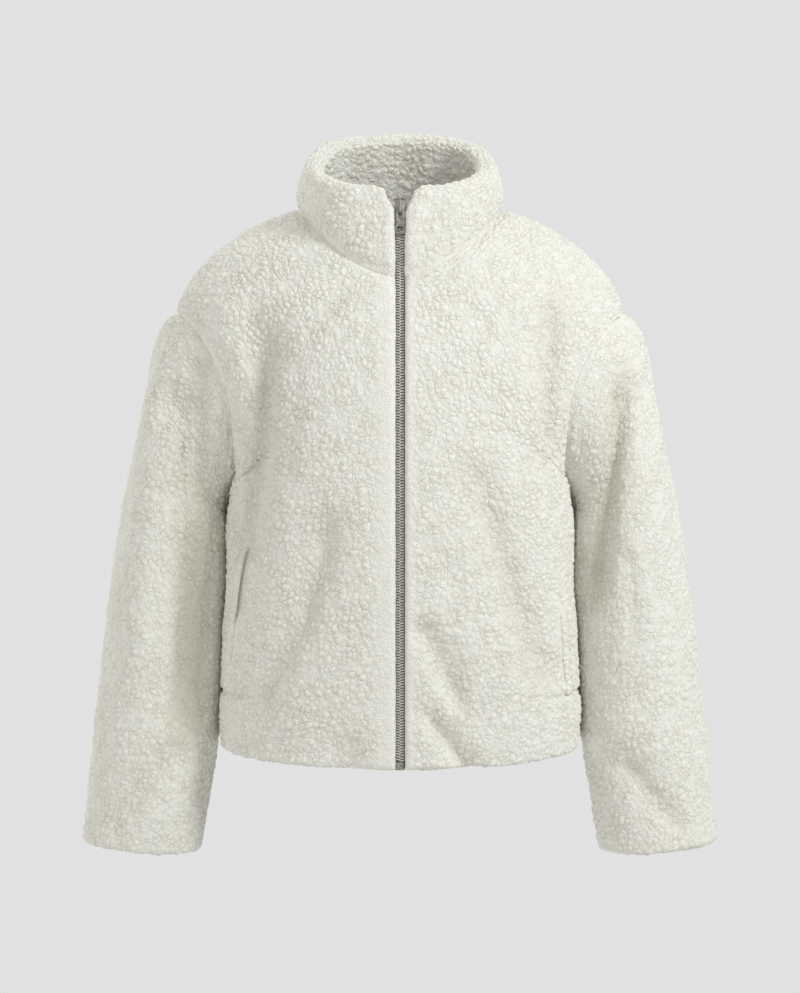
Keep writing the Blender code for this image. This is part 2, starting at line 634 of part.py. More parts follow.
def pocket_welt(name, outer, normals, low, high, material):
    """A narrow band of sherpa along a pocket's opening, made from the points of the front under it."""
    rows, columns = outer.shape[0] - 1, outer.shape[1] - 1

    def on_panel(grid, row, column):
        r, c = min(int(row), rows - 1), min(int(column), columns - 1)
        t, s = row - r, column - c
        below = grid[r, c] * (1 - s) + grid[r, c + 1] * s
        above = grid[r + 1, c] * (1 - s) + grid[r + 1, c + 1] * s
        return below * (1 - t) + above * t

    base, ways = [], []
    for i in range(WELT_ROWS + 1):
        share = i / WELT_ROWS
        row = rows * (low[0] + (high[0] - low[0]) * share)
        middle = columns * (low[1] + (high[1] - low[1]) * share)
        step = np.linalg.norm(on_panel(outer, row, middle + 0.5) - on_panel(outer, row, middle - 0.5))
        half = WELT_HALF / step * (1 - 0.4 * abs(2 * share - 1) ** 6)
        across = [middle - half, middle - half / 2, middle, middle + half / 2, middle + half]
        base.append([on_panel(outer, row, column) for column in across])
        ways.append([unit(on_panel(normals, row, column)) for column in across])
    base, ways = np.array(base), np.array(ways)
    crown = np.array([0.35, 0.9, 1.0, 0.9, 0.35])[None, :, None]
    lower = base + ways * WELT_OFF
    wall(name, [(lower, lower + ways * WELT_THICKNESS * crown)], material)


def finish(name, colour, roughness, metallic=0.0):
    """A plain material."""
    material = bpy.data.materials.new(name)
    material.use_nodes = True
    shader = material.node_tree.nodes["Principled BSDF"]
    shader.inputs["Base Color"].default_value = (*colour, 1.0)
    shader.inputs["Roughness"].default_value = roughness
    shader.inputs["Metallic"].default_value = metallic
    return material


def cloth_grids():
    """The inner side of each panel, as {name: (grid, closed)}, and the middle of the collar's roll."""
    front = half_panel(CENTRE_FRONT, FRONT_NECK, FRONT_NECK_ROWS, FRONT_ARMHOLE, facing=1)
    back = half_panel(CENTRE_BACK, BACK_NECK, BACK_NECK_ROWS, BACK_ARMHOLE, facing=-1)
    sleeve = sleeve_grid(front, back)
    neck = neckline(front, back)
    top = collar_top(neck)
    turned = back[:, ::-1]
    grids = {
        "front_left": (front, False),
        "front_right": (mirrored(front), False),
        "back_left": (turned, False),
        "back_right": (mirrored(turned), False),
        "sleeve_left": (sleeve, True),
        "sleeve_right": (mirrored(sleeve), True),
        "collar_side_left": (np.stack([neck, top]), False),
        "collar_side_right": (mirrored(np.stack([neck, top])), False),
    }
    return grids, neck, top


def main():
    """Build the jacket."""
    for piece in list(bpy.data.objects):
        bpy.data.objects.remove(piece, do_unlink=True)
    sherpa = finish("sherpa", (0.84, 0.82, 0.76), 0.95)
    tape = finish("zip_tape", (0.72, 0.70, 0.64), 0.85)
    metal = finish("zip_metal", (0.62, 0.61, 0.58), 0.32, metallic=1.0)

    grids, neck, top = cloth_grids()
    normals = welded_normals(grids)
    panels = [name for name in grids if not name.startswith("collar")]
    for name in panels:
        grid, closed = grids[name]
        owner = "sleeve" if name.startswith("sleeve") else "body"
        heights = fold_heights(owner, grid, normals[name]) * away_from_seams(name, grid.shape[:2])
        grids[name] = (grid + normals[name] * heights[..., None], closed)
    normals = welded_normals(grids)

    outers, patches = {}, {}
    for name in panels:
        grid, closed = grids[name]
        outers[name] = grid + normals[name] * thickness(grid)
        patches[name] = (drawn_in(name, grid), drawn_in(name, outers[name]))
    for name in ("front_left", "front_right", "sleeve_left", "sleeve_right"):
        wall(name, [patches[name]], sherpa, closed=name.startswith("sleeve"))
    wall("back", [patches["back_left"], patches["back_right"]], sherpa)

    left = collar_sections(neck, normals["collar_side_left"][0], top)
    right = collar_sections(neck, normals["collar_side_right"][0][::-1] * (-1.0, 1.0, 1.0), top)
    sections = np.concatenate([left, mirrored(right)[:, 1:]], axis=1)
    bar("collar", drawn_in("collar", sections), sherpa)

    line = ZipLine(grids["front_left"][0], normals["front_left"])
    for side in ("left", "right"):
        zip_tape(f"zip_tape_{side}", side, line, grids["front_left"][0], normals["front_left"], tape)
    hem_z = CENTRE_FRONT[0][2]
    stop_top = hem_z + STOP_LENGTH
    stop_span = (hem_z, stop_top, STOP_STATIONS)
    chain_span = (stop_top + SEAM_GAP, SLIDER_BOTTOM_Z - SEAM_GAP, CHAIN_STATIONS)
    zip_bar("zip_stop", line, stop_span, STOP_HALF, STOP_DEPTH, metal)
    zip_bar("zip_chain", line, chain_span, CHAIN_HALF, CHAIN_DEPTH, metal)
    place = line.place(SLIDER_BOTTOM_Z)
    slider(place, metal)
    pull_tab(place, metal)
    for side, row_low, column_low, row_high, column_high in WELTS:
        name = f"front_{side}"
        low, high = (row_low, column_low), (row_high, column_high)
        if side == "right":
            low, high = (row_low, 1 - column_low), (row_high, 1 - column_high)
        pocket_welt(f"pocket_welt_{side}", outers[name], normals[name], low, high, sherpa)


if __name__ == "__main__":
    main()
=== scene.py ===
"""Looks of the cropped sherpa jacket: its pile, knit back, metal zip, pocket welts and a plain studio.

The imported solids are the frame.  Each cloth solid is replaced by a thin shell on the same form, with
finer creases and a nubbed pile; the zip's bar is replaced by single teeth.
"""
import logging  # noqa: E402
import math  # noqa: E402
from dataclasses import dataclass, field  # noqa: E402
from enum import Enum  # noqa: E402
from typing import Any, Sequence  # noqa: E402

import bmesh  # noqa: E402
import bpy  # noqa: E402
import numpy as np  # noqa: E402
from mathutils import Matrix, Vector  # noqa: E402


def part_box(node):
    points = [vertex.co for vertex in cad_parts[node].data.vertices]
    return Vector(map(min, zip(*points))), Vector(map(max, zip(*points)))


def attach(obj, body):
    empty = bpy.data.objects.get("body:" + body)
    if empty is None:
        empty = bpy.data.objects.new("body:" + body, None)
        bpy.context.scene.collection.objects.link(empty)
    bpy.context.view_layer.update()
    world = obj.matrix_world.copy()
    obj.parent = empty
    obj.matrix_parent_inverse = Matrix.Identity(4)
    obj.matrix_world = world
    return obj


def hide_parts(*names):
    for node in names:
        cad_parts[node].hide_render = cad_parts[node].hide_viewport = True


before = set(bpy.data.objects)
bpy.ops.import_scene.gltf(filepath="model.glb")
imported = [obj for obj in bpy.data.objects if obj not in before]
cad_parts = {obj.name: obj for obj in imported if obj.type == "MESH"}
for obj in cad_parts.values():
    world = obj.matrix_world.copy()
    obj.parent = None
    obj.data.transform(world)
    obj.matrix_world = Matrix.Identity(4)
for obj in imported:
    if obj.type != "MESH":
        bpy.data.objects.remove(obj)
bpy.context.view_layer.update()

log = logging.getLogger("sherpa_jacket")


class Side(Enum):
    """The wearer's left or right, as the sign of x."""

    LEFT = 1
    RIGHT = -1

    @property
    def word(self) -> str:
        """The side in lower case, as node names use it."""
        return self.name.lower()


class Face(Enum):
    """Material index of the two faces of the cloth."""

    PILE = 0
    KNIT = 1


# ------------------------------------------------------------------------------------------------
# Small geometry helpers


def unit(vectors: np.ndarray) -> np.ndarray:
    """Vectors along the last axis, each at length 1."""
    return vectors / np.maximum(np.linalg.norm(vectors, axis=-1, keepdims=True), 1e-12)


def smooth(share: np.ndarray | float) -> np.ndarray:
    """Ramp from 0 to 1 with flat ends."""
    share = np.clip(share, 0.0, 1.0)
    return share * share * (3.0 - 2.0 * share)


def hermite(
    start: np.ndarray, end: np.ndarray, start_run: np.ndarray, end_run: np.ndarray, share: Any
) -> np.ndarray:
    """Cubic from start to end that leaves along start_run and arrives along end_run.

    Args:
        start: First point or points.
        end: Last point or points.
        start_run: Tangent at the start.
        end_run: Tangent at the end.
        share: How far along, from 0 to 1.

    Returns:
        The points at those shares.
    """
    s = np.asarray(share)[..., None]
    return (
        start * (2 * s**3 - 3 * s**2 + 1)
        + start_run * (s**3 - 2 * s**2 + s)
        + end * (3 * s**2 - 2 * s**3)
        + end_run * (s**3 - s**2)
    )


def run_through(knots: Any, count: int, fine: int = 24) -> np.ndarray:
    """Evenly spaced rows on a smooth curve through knots.

    Args:
        knots: Rows of x, y, z and any further columns that follow along.
        count: Number of steps, so that count + 1 rows come back.
        fine: Samples between two knots while the length is measured.

    Returns:
        The rows.
    """
    knots = np.asarray(knots, float)
    run = np.gradient(knots, axis=0)
    run[0] = knots[1] - knots[0]
    run[-1] = knots[-1] - knots[-2]
    share = np.arange(fine) / fine
    parts = [hermite(knots[i], knots[i + 1], run[i], run[i + 1], share) for i in range(len(knots) - 1)]
    dense = np.vstack(parts + [knots[-1:]])
    steps = np.linalg.norm(np.diff(dense[:, :3], axis=0), axis=1)
    length = np.concatenate([[0.0], np.cumsum(steps)])
    wanted = np.linspace(0.0, length[-1], count + 1)
    return np.column_stack([np.interp(wanted, length, column) for column in dense.T])


def densify(grid: np.ndarray, factor: int, axis: int, closed: bool = False) -> np.ndarray:
    """Grid with more points on smooth curves through its own along one axis.

    Args:
        grid: Rows by columns of points.
        factor: Steps made of each step.
        axis: 0 for along the columns' length, 1 for along the rows' length.
        closed: Whether the grid runs round along that axis.

    Returns:
        The denser grid, which holds all points of the first one.
    """
    points = np.moveaxis(grid, axis, 0)
    count = len(points)
    if closed:
        padded = np.concatenate([points[-1:], points, points[:2]])
        spans = count
    else:
        padded = np.concatenate([2 * points[:1] - points[1:2], points, 2 * points[-1:] - points[-2:-1]])
        spans = count - 1
    share = np.arange(factor) / factor
    share = share.reshape((1, factor) + (1,) * (points.ndim - 1))
    before, start, end, after = (padded[i : i + spans, None] for i in range(4))
    dense = 0.5 * (
        2 * start
        + (end - before) * share
        + (2 * before - 5 * start + 4 * end - after) * share**2
        + (3 * start - before - 3 * end + after) * share**3
    )
    dense = dense.reshape((spans * factor,) + points.shape[1:])
    if not closed:
        dense = np.concatenate([dense, points[-1:]])
    return np.moveaxis(dense, 0, axis)


def grid_normals(grid: np.ndarray, closed: bool = False) -> np.ndarray:
    """Outward normals of a grid whose columns run anticlockwise seen from outside."""
    if closed:
        wide = np.concatenate([grid[:, -1:], grid, grid[:, :1]], axis=1)
        across = (wide[:, 2:] - wide[:, :-2]) / 2
    else:
        across = np.gradient(grid, axis=1)
    return unit(np.cross(across, np.gradient(grid, axis=0)))


def distance_from(grid: np.ndarray, axis: int, end: int) -> np.ndarray:
    """Length along the surface from one border of the grid to each point.

    Args:
        grid: Rows by columns of points.
        axis: The axis that leaves the border.
        end: 0 for its first border, -1 for its last.

    Returns:
        One length for each point.
    """
    steps = np.linalg.norm(np.diff(grid, axis=axis), axis=-1)
    if end:
        steps = np.flip(steps, axis)
    first = np.zeros_like(np.take(steps, [0], axis=axis))
    lengths = np.concatenate([first, np.cumsum(steps, axis=axis)], axis=axis)
    return np.flip(lengths, axis) if end else lengths


def mirrored(grid: np.ndarray) -> np.ndarray:
    """The grid on the other side of the centre plane, with its columns turned round so that it faces out."""
    return (grid * np.array([-1.0, 1.0, 1.0]))[:, ::-1]


# ------------------------------------------------------------------------------------------------
# The cut, with the same named sizes as the solids


@dataclass(frozen=True)
class Fold:
    """One fold of the worn jacket, a valley where its height is negative."""

    piece: str
    side: str
    x0: float
    z0: float
    x1: float
    z1: float
    half_width: float
    height: float
    # Weight of the shade painted into the pile's colour in this fold.
    tint: float = 1.0

    def heights(self, points: np.ndarray, normals: np.ndarray, fade: float, facing: float) -> np.ndarray:
        """How far the fold moves each point along its normal.

        Args:
            points: The points of a panel.
            normals: Their outward normals.
            fade: Length past the fold's ends over which it fades out.
            facing: How soon it reaches its height on cloth that turns towards its side.

        Returns:
            One height for each point.
        """
        start, run = np.array([self.x0, self.z0]), np.array([self.x1 - self.x0, self.z1 - self.z0])
        flat, length = points[..., [0, 2]], np.linalg.norm(run)
        at = (flat - start) @ run / length
        beyond = np.maximum(np.maximum(-at, at - length), 0.0)
        aside = np.linalg.norm(flat - start - np.clip(at, 0, length)[..., None] * run / length, axis=-1)
        across = np.sqrt(np.maximum(aside**2 - beyond**2, 0.0))
        turned = smooth(normals[..., 1] * (-facing if self.side == "front" else facing))
        return self.height * np.exp(-((across / self.half_width) ** 2)) * (1 - smooth(beyond / fade)) * turned


@dataclass
class Panel:
    """One cut piece on the body: the inner and outer side of its cloth as grids.

    Attributes:
        inner: Grid of the inner side.
        outer: Grid of the outer side.
        closed: Whether the columns run round.
        corner: Row at which the centre edge turns into the neckline, or None.
        centre: The centre edge's column, 0 or -1.
    """

    inner: np.ndarray
    outer: np.ndarray
    closed: bool = False
    corner: int | None = None
    centre: int = 0

    def dense(self, grid: np.ndarray, row_factor: int, column_factor: int) -> np.ndarray:
        """One of its grids with more points, the centre edge kept straight up to its corner.

        Args:
            grid: The inner or outer side.
            row_factor: Rows made of each row.
            column_factor: Columns made of each column.

        Returns:
            The denser grid.
        """
        rows = densify(grid, row_factor, 0)
        if self.corner is not None:
            parts = (grid[: self.corner + 1], grid[self.corner :])
            below, above = (densify(part, row_factor, 0) for part in parts)
            away = np.arange(grid.shape[1])
            weight = 1 - smooth((away[::-1] if self.centre else away) / 2.0)
            rows = rows + (np.concatenate([below, above[1:]]) - rows) * weight[:, None]
        return densify(rows, column_factor, 1, self.closed)


@dataclass
class JacketCut:
    """The seam lines of the jacket and the worn form that its panels take between them."""

    cloth: float = 0.008
    slot_half: float = 0.0050
    pressed_share: float = 0.68
    pressed_reach: float = 0.035
    side_rows: int = 13
    arm_rows: int = 11
    columns: int = 13
    front_neck_rows: int = 6
    back_neck_rows: int = 5
    cap_rows: int = 6
    sleeve_rows: int = 12
    body_fullness: float = 1.40
    shoulder_fullness: float = 1.20
    side_fullness: float = 0.85
    collar_roll: float = 0.0105
    collar_bulge: float = 0.003
    collar_wall_rows: int = 5
    collar_roll_rows: int = 6
    fold_fade: float = 0.030
    fold_facing: float = 1.6
    seam_keep: float = 3.0
    # Seam lines of the left half.  Columns: x, y, z and the way in which the cloth runs over it.
    centre_front: Sequence[tuple] = (
        (0.0050, -0.116, -0.514, 1.0, 0.0, 0.0),
        (0.0050, -0.124, -0.420, 1.0, 0.0, 0.0),
        (0.0050, -0.129, -0.310, 1.0, 0.0, 0.0),
        (0.0050, -0.124, -0.200, 1.0, 0.0, 0.0),
        (0.0050, -0.108, -0.115, 1.0, 0.0, 0.0),
        (0.0050, -0.090, -0.060, 1.0, 0.0, 0.0),
    )
    front_neck: Sequence[tuple] = (
        (0.0050, -0.090, -0.060, 1.0, 0.0, 0.0),
        (0.038, -0.081, -0.048, 0.9, -0.1, -0.4),
        (0.066, -0.056, -0.026, 0.9, 0.0, -0.35),
        (0.090, 0.000, -0.001, 0.95, 0.0, -0.30),
    )
    centre_back: Sequence[tuple] = (
        (0.0, 0.104, -0.514, 1.0, 0.0, 0.0),
        (0.0, 0.110, -0.400, 1.0, 0.0, 0.0),
        (0.0, 0.119, -0.270, 1.0, 0.0, 0.0),
        (0.0, 0.122, -0.160, 1.0, 0.0, 0.0),
        (0.0, 0.106, -0.065, 1.0, 0.0, 0.0),
        (0.0, 0.072, 0.008, 1.0, 0.0, 0.0),
    )
    back_neck: Sequence[tuple] = (
        (0.0, 0.072, 0.008, 1.0, 0.0, 0.0),
        (0.045, 0.064, 0.006, 0.9, 0.2, -0.3),
        (0.078, 0.036, 0.002, 0.9, 0.1, -0.3),
        (0.090, 0.000, -0.001, 0.95, 0.0, -0.30),
    )
    side_seam: Sequence[tuple] = (
        (0.158, 0.0, -0.508, -0.40, 1.0, 0.0),
        (0.157, 0.0, -0.430, -0.40, 1.0, 0.0),
        (0.152, 0.0, -0.340, -0.32, 1.0, 0.0),
        (0.149, 0.0, -0.262, -0.25, 1.0, 0.0),
    )
    # Front armhole; the back one is the same behind the side seam.
    armhole: Sequence[tuple] = (
        (0.149, 0.000, -0.262, -0.25, 1.0, 0.0),
        (0.150, -0.030, -0.242, 0.08, 1.0, 0.0),
        (0.154, -0.052, -0.202, 0.42, 0.9, -0.1),
        (0.161, -0.061, -0.162, 0.70, 0.55, -0.4),
        (0.178, -0.051, -0.127, 0.65, 0.4, -0.65),
        (0.195, -0.030, -0.106, 0.40, 0.2, -0.88),
        (0.209, 0.000, -0.098, 0.20, 0.0, -0.98),
    )
    # Columns: share of the armhole from underarm to shoulder point, way x, y, z, and how far it is kept.
    sleeve_run: Sequence[tuple] = (
        (0.0, 0.70, 0.0, 0.50, 0.045),
        (0.15, 0.85, 0.35, 0.10, 0.050),
        (0.35, 0.85, 0.40, -0.30, 0.055),
        (0.7, 0.65, 0.25, -0.70, 0.070),
        (1.0, 0.80, 0.0, -0.60, 0.085),
    )
    # Columns: outer edge x and z, inner edge x and z, half depth, and how far back the ring sits.
    sleeve_rings: Sequence[tuple] = (
        (0.237, -0.176, 0.177, -0.290, 0.058, 0.003),
        (0.250, -0.240, 0.1715, -0.335, 0.056, 0.003),
        (0.264, -0.310, 0.1735, -0.385, 0.054, 0.002),
        (0.275, -0.390, 0.177, -0.442, 0.052, 0.000),
        (0.286, -0.480, 0.184, -0.510, 0.049, -0.003),
        (0.294, -0.560, 0.194, -0.572, 0.045, -0.006),
        (0.299, -0.603, 0.200, -0.611, 0.040, -0.008),
    )
    # Middle of the collar's roll.  Columns: share of the way from centre front to centre back, x, y, z.
    collar_top: Sequence[tuple] = (
        (0.00, 0.0050, -0.077, 0.014),
        (0.22, 0.050, -0.066, 0.018),
        (0.42, 0.078, -0.030, 0.030),
        (0.58, 0.080, 0.010, 0.046),
        (0.78, 0.058, 0.051, 0.062),
        (1.00, 0.000, 0.066, 0.068),
    )
    folds: Sequence[Fold] = (
        Fold("body", "front", -0.160, -0.100, -0.158, -0.215, 0.014, 0.006),
        Fold("body", "front", -0.122, -0.120, -0.128, -0.225, 0.019, -0.009),
        Fold("body", "front", -0.128, -0.225, -0.141, -0.300, 0.019, -0.009),
        Fold("body", "front", -0.066, -0.290, -0.086, -0.375, 0.018, -0.007),
        Fold("body", "front", -0.086, -0.375, -0.130, -0.455, 0.016, -0.006),
        Fold("body", "front", -0.054, -0.485, -0.050, -0.540, 0.014, -0.005),
        Fold("body", "front", 0.036, -0.390, 0.058, -0.452, 0.0095, -0.008),
        Fold("body", "front", 0.037, -0.474, 0.068, -0.520, 0.009, -0.007),
        Fold("body", "front", 0.074, -0.250, 0.128, -0.425, 0.018, -0.007),
        Fold("body", "front", 0.112, -0.400, 0.104, -0.500, 0.018, 0.004),
        Fold("body", "front", 0.142, -0.100, 0.136, -0.210, 0.015, -0.007),
        Fold("body", "back", -0.104, -0.120, -0.126, -0.330, 0.020, -0.009),
        Fold("body", "back", 0.098, -0.140, 0.130, -0.340, 0.020, -0.010),
        Fold("body", "back", -0.064, -0.340, -0.028, -0.520, 0.020, -0.008),
        Fold("body", "back", 0.048, -0.310, 0.082, -0.500, 0.020, -0.008),
        Fold("body", "back", -0.030, -0.052, 0.036, -0.066, 0.016, -0.006),
        Fold("sleeve", "front", -0.204, -0.180, -0.206, -0.450, 0.016, -0.010),
        Fold("sleeve", "front", -0.232, -0.200, -0.246, -0.420, 0.014, 0.004),
        Fold("sleeve", "front", -0.215, -0.500, -0.264, -0.565, 0.016, -0.006),
        Fold("sleeve", "front", 0.208, -0.170, 0.186, -0.350, 0.016, -0.011),
        Fold("sleeve", "front", 0.232, -0.230, 0.222, -0.430, 0.014, 0.004),
        Fold("sleeve", "front", 0.216, -0.520, 0.262, -0.580, 0.016, -0.006),
        Fold("sleeve", "back", -0.210, -0.200, -0.226, -0.410, 0.016, -0.009),
        Fold("sleeve", "back", 0.212, -0.190, 0.222, -0.390, 0.016, -0.009),
        Fold("sleeve", "back", -0.215, -0.480, -0.265, -0.540, 0.016, -0.006),
        Fold("sleeve", "back", 0.220, -0.470, 0.262, -0.540, 0.016, -0.006),
    )
    panels: dict[str, Panel] = field(default_factory=dict)
    normals: dict[str, np.ndarray] = field(default_factory=dict)

    def half_panel(self, centre: Any, neck: Any, neck_rows: int, facing: int) -> np.ndarray:
        """Grid of the left half of a front or back, rows from hem to shoulder, columns from centre to side.

        Args:
            centre: Table of the centre line.
            neck: Table of the neckline.
            neck_rows: How many rows end on the neckline.
            facing: 1 for the front, -1 for the back.

        Returns:
            The inner side of the cloth.
        """
        rows = self.side_rows + self.arm_rows
        inner = np.vstack([run_through(centre, rows - neck_rows), run_through(neck, neck_rows)[1:]])
        armhole = np.array(self.armhole) * (1.0, facing, 1.0, 1.0, 1.0, 1.0)
        seam, edge = run_through(self.side_seam, self.side_rows), run_through(armhole, self.arm_rows)
        outer = np.vstack([seam, edge[1:]])
        outer[:, 4] *= facing
        chord = np.linalg.norm(outer[:, :3] - inner[:, :3], axis=1, keepdims=True)
        rise = smooth((np.arange(rows + 1) - self.side_rows) / self.arm_rows)[:, None]
        fullness = self.body_fullness + (self.shoulder_fullness - self.body_fullness) * rise
        start_run = unit(inner[:, 3:]) * chord * fullness
        end_run = unit(outer[:, 3:]) * chord * fullness * self.side_fullness
        share = np.linspace(0.0, 1.0, self.columns + 1)[None, :]
        return hermite(inner[:, None, :3], outer[:, None, :3], start_run[:, None], end_run[:, None], share)

    def sleeve(self, front: np.ndarray, back: np.ndarray) -> np.ndarray:
        """Closed grid of the left sleeve, rows from cuff to armhole, columns round it from the underarm.

        Args:
            front: The left half of the front.
            back: The left half of the back.

        Returns:
            The inner side of the cloth.
        """
        loop = np.vstack([front[self.side_rows :, -1], back[self.side_rows : -1, -1][::-1]])
        rise = np.linspace(0, 1, self.arm_rows + 1)
        share = np.concatenate([rise, rise[-2::-1]])
        facing = np.concatenate([np.ones(self.arm_rows + 1), -np.ones(self.arm_rows)])
        table = np.asarray(self.sleeve_run)
        run = np.column_stack([np.interp(share, table[:, 0], column) for column in table[:, 1:].T])
        run[:, 1] *= facing
        loop_run = unit(run[:, :3]) * run[:, 3:]
        turn = np.pi * np.concatenate([rise, 2.0 - rise[-2::-1]])[:, None]
        rings = []
        for outer_x, outer_z, inner_x, inner_z, half_depth, back_by in self.sleeve_rings:
            middle = np.array([outer_x + inner_x, 2 * back_by, outer_z + inner_z]) / 2
            reach = np.array([outer_x - inner_x, 0.0, outer_z - inner_z]) / 2
            rings.append(middle - np.cos(turn) * reach - np.sin(turn) * np.array([0.0, half_depth, 0.0]))
        rings = np.array(rings)
        tube = np.stack([run_through(rings[:, i], self.sleeve_rows) for i in range(len(turn))], axis=1)
        far = np.linalg.norm(tube[0] - loop, axis=1, keepdims=True)
        first_run = unit(tube[1] - tube[0]) * far
        steps = np.linspace(0, 1, self.cap_rows + 1)[:-1, None]
        cap = hermite(loop[None], tube[0][None], loop_run[None], first_run[None], steps)
        return np.vstack([cap, tube])[::-1, :-1]

    def collar_middle(self, neck: np.ndarray) -> np.ndarray:
        """Middle of the collar's roll above each point of the left half of the neckline."""
        steps = np.linalg.norm(np.diff(neck, axis=0), axis=1)
        share = np.concatenate([[0.0], np.cumsum(steps)]) / steps.sum()
        even = run_through(np.asarray(self.collar_top), len(neck) * 8)
        return np.column_stack([np.interp(share, even[:, 0], column) for column in even[:, 1:].T])

    def collar_sections(self, neck: np.ndarray, out: np.ndarray, top: np.ndarray) -> np.ndarray:
        """Grid of the collar's left half, rows up the outer side, over the roll and down the inner side.

        Args:
            neck: The neckline's points.
            out: Outward normals there.
            top: Middle of the roll above each of them.

        Returns:
            The grid.
        """
        along = unit(np.gradient(top, axis=0))
        along[0] = (1.0, 0.0, 0.0)
        along[-1] = (-1.0, 0.0, 0.0)
        away = unit(np.cross(along, top - neck))
        rise = np.cross(away, along)
        up = np.linspace(0.0, 1.0, self.collar_wall_rows + 1)[:, None, None]
        swell = self.collar_bulge * np.sin(np.pi * up) * away
        outer = (neck + out * self.cloth) * (1 - up) + (top + away * self.collar_roll) * up + swell
        inner = (neck * (1 - up) + (top - away * self.collar_roll) * up)[::-1]
        angle = (np.pi * np.arange(1, self.collar_roll_rows) / self.collar_roll_rows)[:, None, None]
        roll = top + self.collar_roll * (np.cos(angle) * away + np.sin(angle) * rise)
        return np.vstack([outer, roll, inner])

    def welded_normals(self, grids: dict[str, tuple[np.ndarray, bool]]) -> dict[str, np.ndarray]:
        """Outward normal at each point of the grids, the same for all grids that share the point.

        Args:
            grids: Each panel's grid, and whether it is closed.

        Returns:
            The normals by panel.
        """
        sums: dict[tuple, Any] = {}
        keys = {}
        for name, (grid, closed) in grids.items():
            keys[name] = [[tuple(np.round(point * 1e6).astype(int)) for point in row] for row in grid]
            rows, columns = grid.shape[:2]
            for r in range(rows - 1):
                for c in range(columns if closed else columns - 1):
                    corners = [(r, c), (r, (c + 1) % columns), (r + 1, (c + 1) % columns), (r + 1, c)]
                    a, b, d, e = (grid[i] for i in corners)
                    normal = np.cross(d - a, e - b)
                    for i, j in corners:
                        sums[keys[name][i][j]] = sums.get(keys[name][i][j], 0.0) + normal
        normals = {}
        for name, rows_of_keys in keys.items():
            found = unit(np.array([[sums[key] for key in row] for row in rows_of_keys]))
            found[np.abs(np.abs(grids[name][0][..., 0]) - self.slot_half) < 1e-6, 0] = 0.0
            normals[name] = unit(found)
        return normals

    def keep_seams(self, name: str, shape: tuple[int, int]) -> np.ndarray:
        """Weight that keeps the folds off the armhole and neckline.

        Args:
            name: The panel's name.
            shape: Its rows and columns.

        Returns:
            One weight for each point.
        """
        rows, columns = np.indices(shape)
        if name.startswith("sleeve"):
            return smooth((shape[0] - 1 - rows) / self.seam_keep)
        to_centre = columns if name in ("front_left", "back_right") else shape[1] - 1 - columns
        to_side = shape[1] - 1 - to_centre
        top = self.side_rows + self.arm_rows
        past_side = smooth((rows - self.side_rows) / self.seam_keep + 1)
        past_neck = smooth((rows - top + self.front_neck_rows) / self.seam_keep + 1)
        by_armhole = past_side * (1 - smooth(to_side / self.seam_keep))
        by_neck = past_neck * (1 - smooth(to_centre / self.seam_keep))
        return (1 - by_armhole) * (1 - by_neck)

    def thickness(self, points: np.ndarray) -> np.ndarray:
        """Thickness of the sherpa at each point: less where it is pressed under the arm."""
        underarm = np.array(self.side_seam[-1][:3])
        near = np.abs(points) * (1, 0, 0) + points * (0, 1, 1)
        far = np.linalg.norm(near - underarm, axis=-1, keepdims=True)
        return self.cloth * (1 - self.pressed_share * np.exp(-((far / self.pressed_reach) ** 2)))

    def build(self) -> None:
        """Work out every panel of the jacket."""
        front = self.half_panel(self.centre_front, self.front_neck, self.front_neck_rows, 1)
        back = self.half_panel(self.centre_back, self.back_neck, self.back_neck_rows, -1)
        sleeve = self.sleeve(front, back)
        front_edge, back_edge = front[-self.front_neck_rows - 1 :, 0], back[-self.back_neck_rows - 1 : -1, 0]
        neck = np.vstack([front_edge, back_edge[::-1]])
        top = self.collar_middle(neck)
        side = np.stack([neck, top])
        grids = {
            "front_left": (front, False),
            "front_right": (mirrored(front), False),
            "back_left": (back[:, ::-1], False),
            "back_right": (mirrored(back[:, ::-1]), False),
            "sleeve_left": (sleeve, True),
            "sleeve_right": (mirrored(sleeve), True),
            "collar_left": (side, False),
            "collar_right": (mirrored(side), False),
        }
        normals = self.welded_normals(grids)
        panels = [name for name in grids if not name.startswith("collar")]
        for name in panels:
            grid, closed = grids[name]
            owner = "sleeve" if name.startswith("sleeve") else "body"
            found = [
                fold.heights(grid, normals[name], self.fold_fade, self.fold_facing)
                for fold in self.folds
                if fold.piece == owner
            ]
            heights = np.maximum(np.max(found, axis=0), 0.0) + np.minimum(np.min(found, axis=0), 0.0)
            heights *= self.keep_seams(name, grid.shape[:2])
            grids[name] = (grid + normals[name] * heights[..., None], closed)
        normals = self.welded_normals(grids)
        top_row = self.side_rows + self.arm_rows
        for name in panels:
            grid, closed = grids[name]
            neck_rows = self.front_neck_rows if name.startswith("front") else self.back_neck_rows
            corner = None if closed else top_row - neck_rows
            centre = 0 if name in ("front_left", "back_right") else -1
            outer = grid + normals[name] * self.thickness(grid)
            self.panels[name] = Panel(grid, outer, closed, corner, centre)
        left = self.collar_sections(neck, normals["collar_left"][0], top)
        right = self.collar_sections(neck, normals["collar_right"][0][::-1] * (-1.0, 1.0, 1.0), top)
        sections = np.concatenate([left, mirrored(right)[:, 1:]], axis=1)
        self.panels["collar"] = Panel(sections, sections)
        self.normals = normals
        log.info("cut: %d panels", len(self.panels))
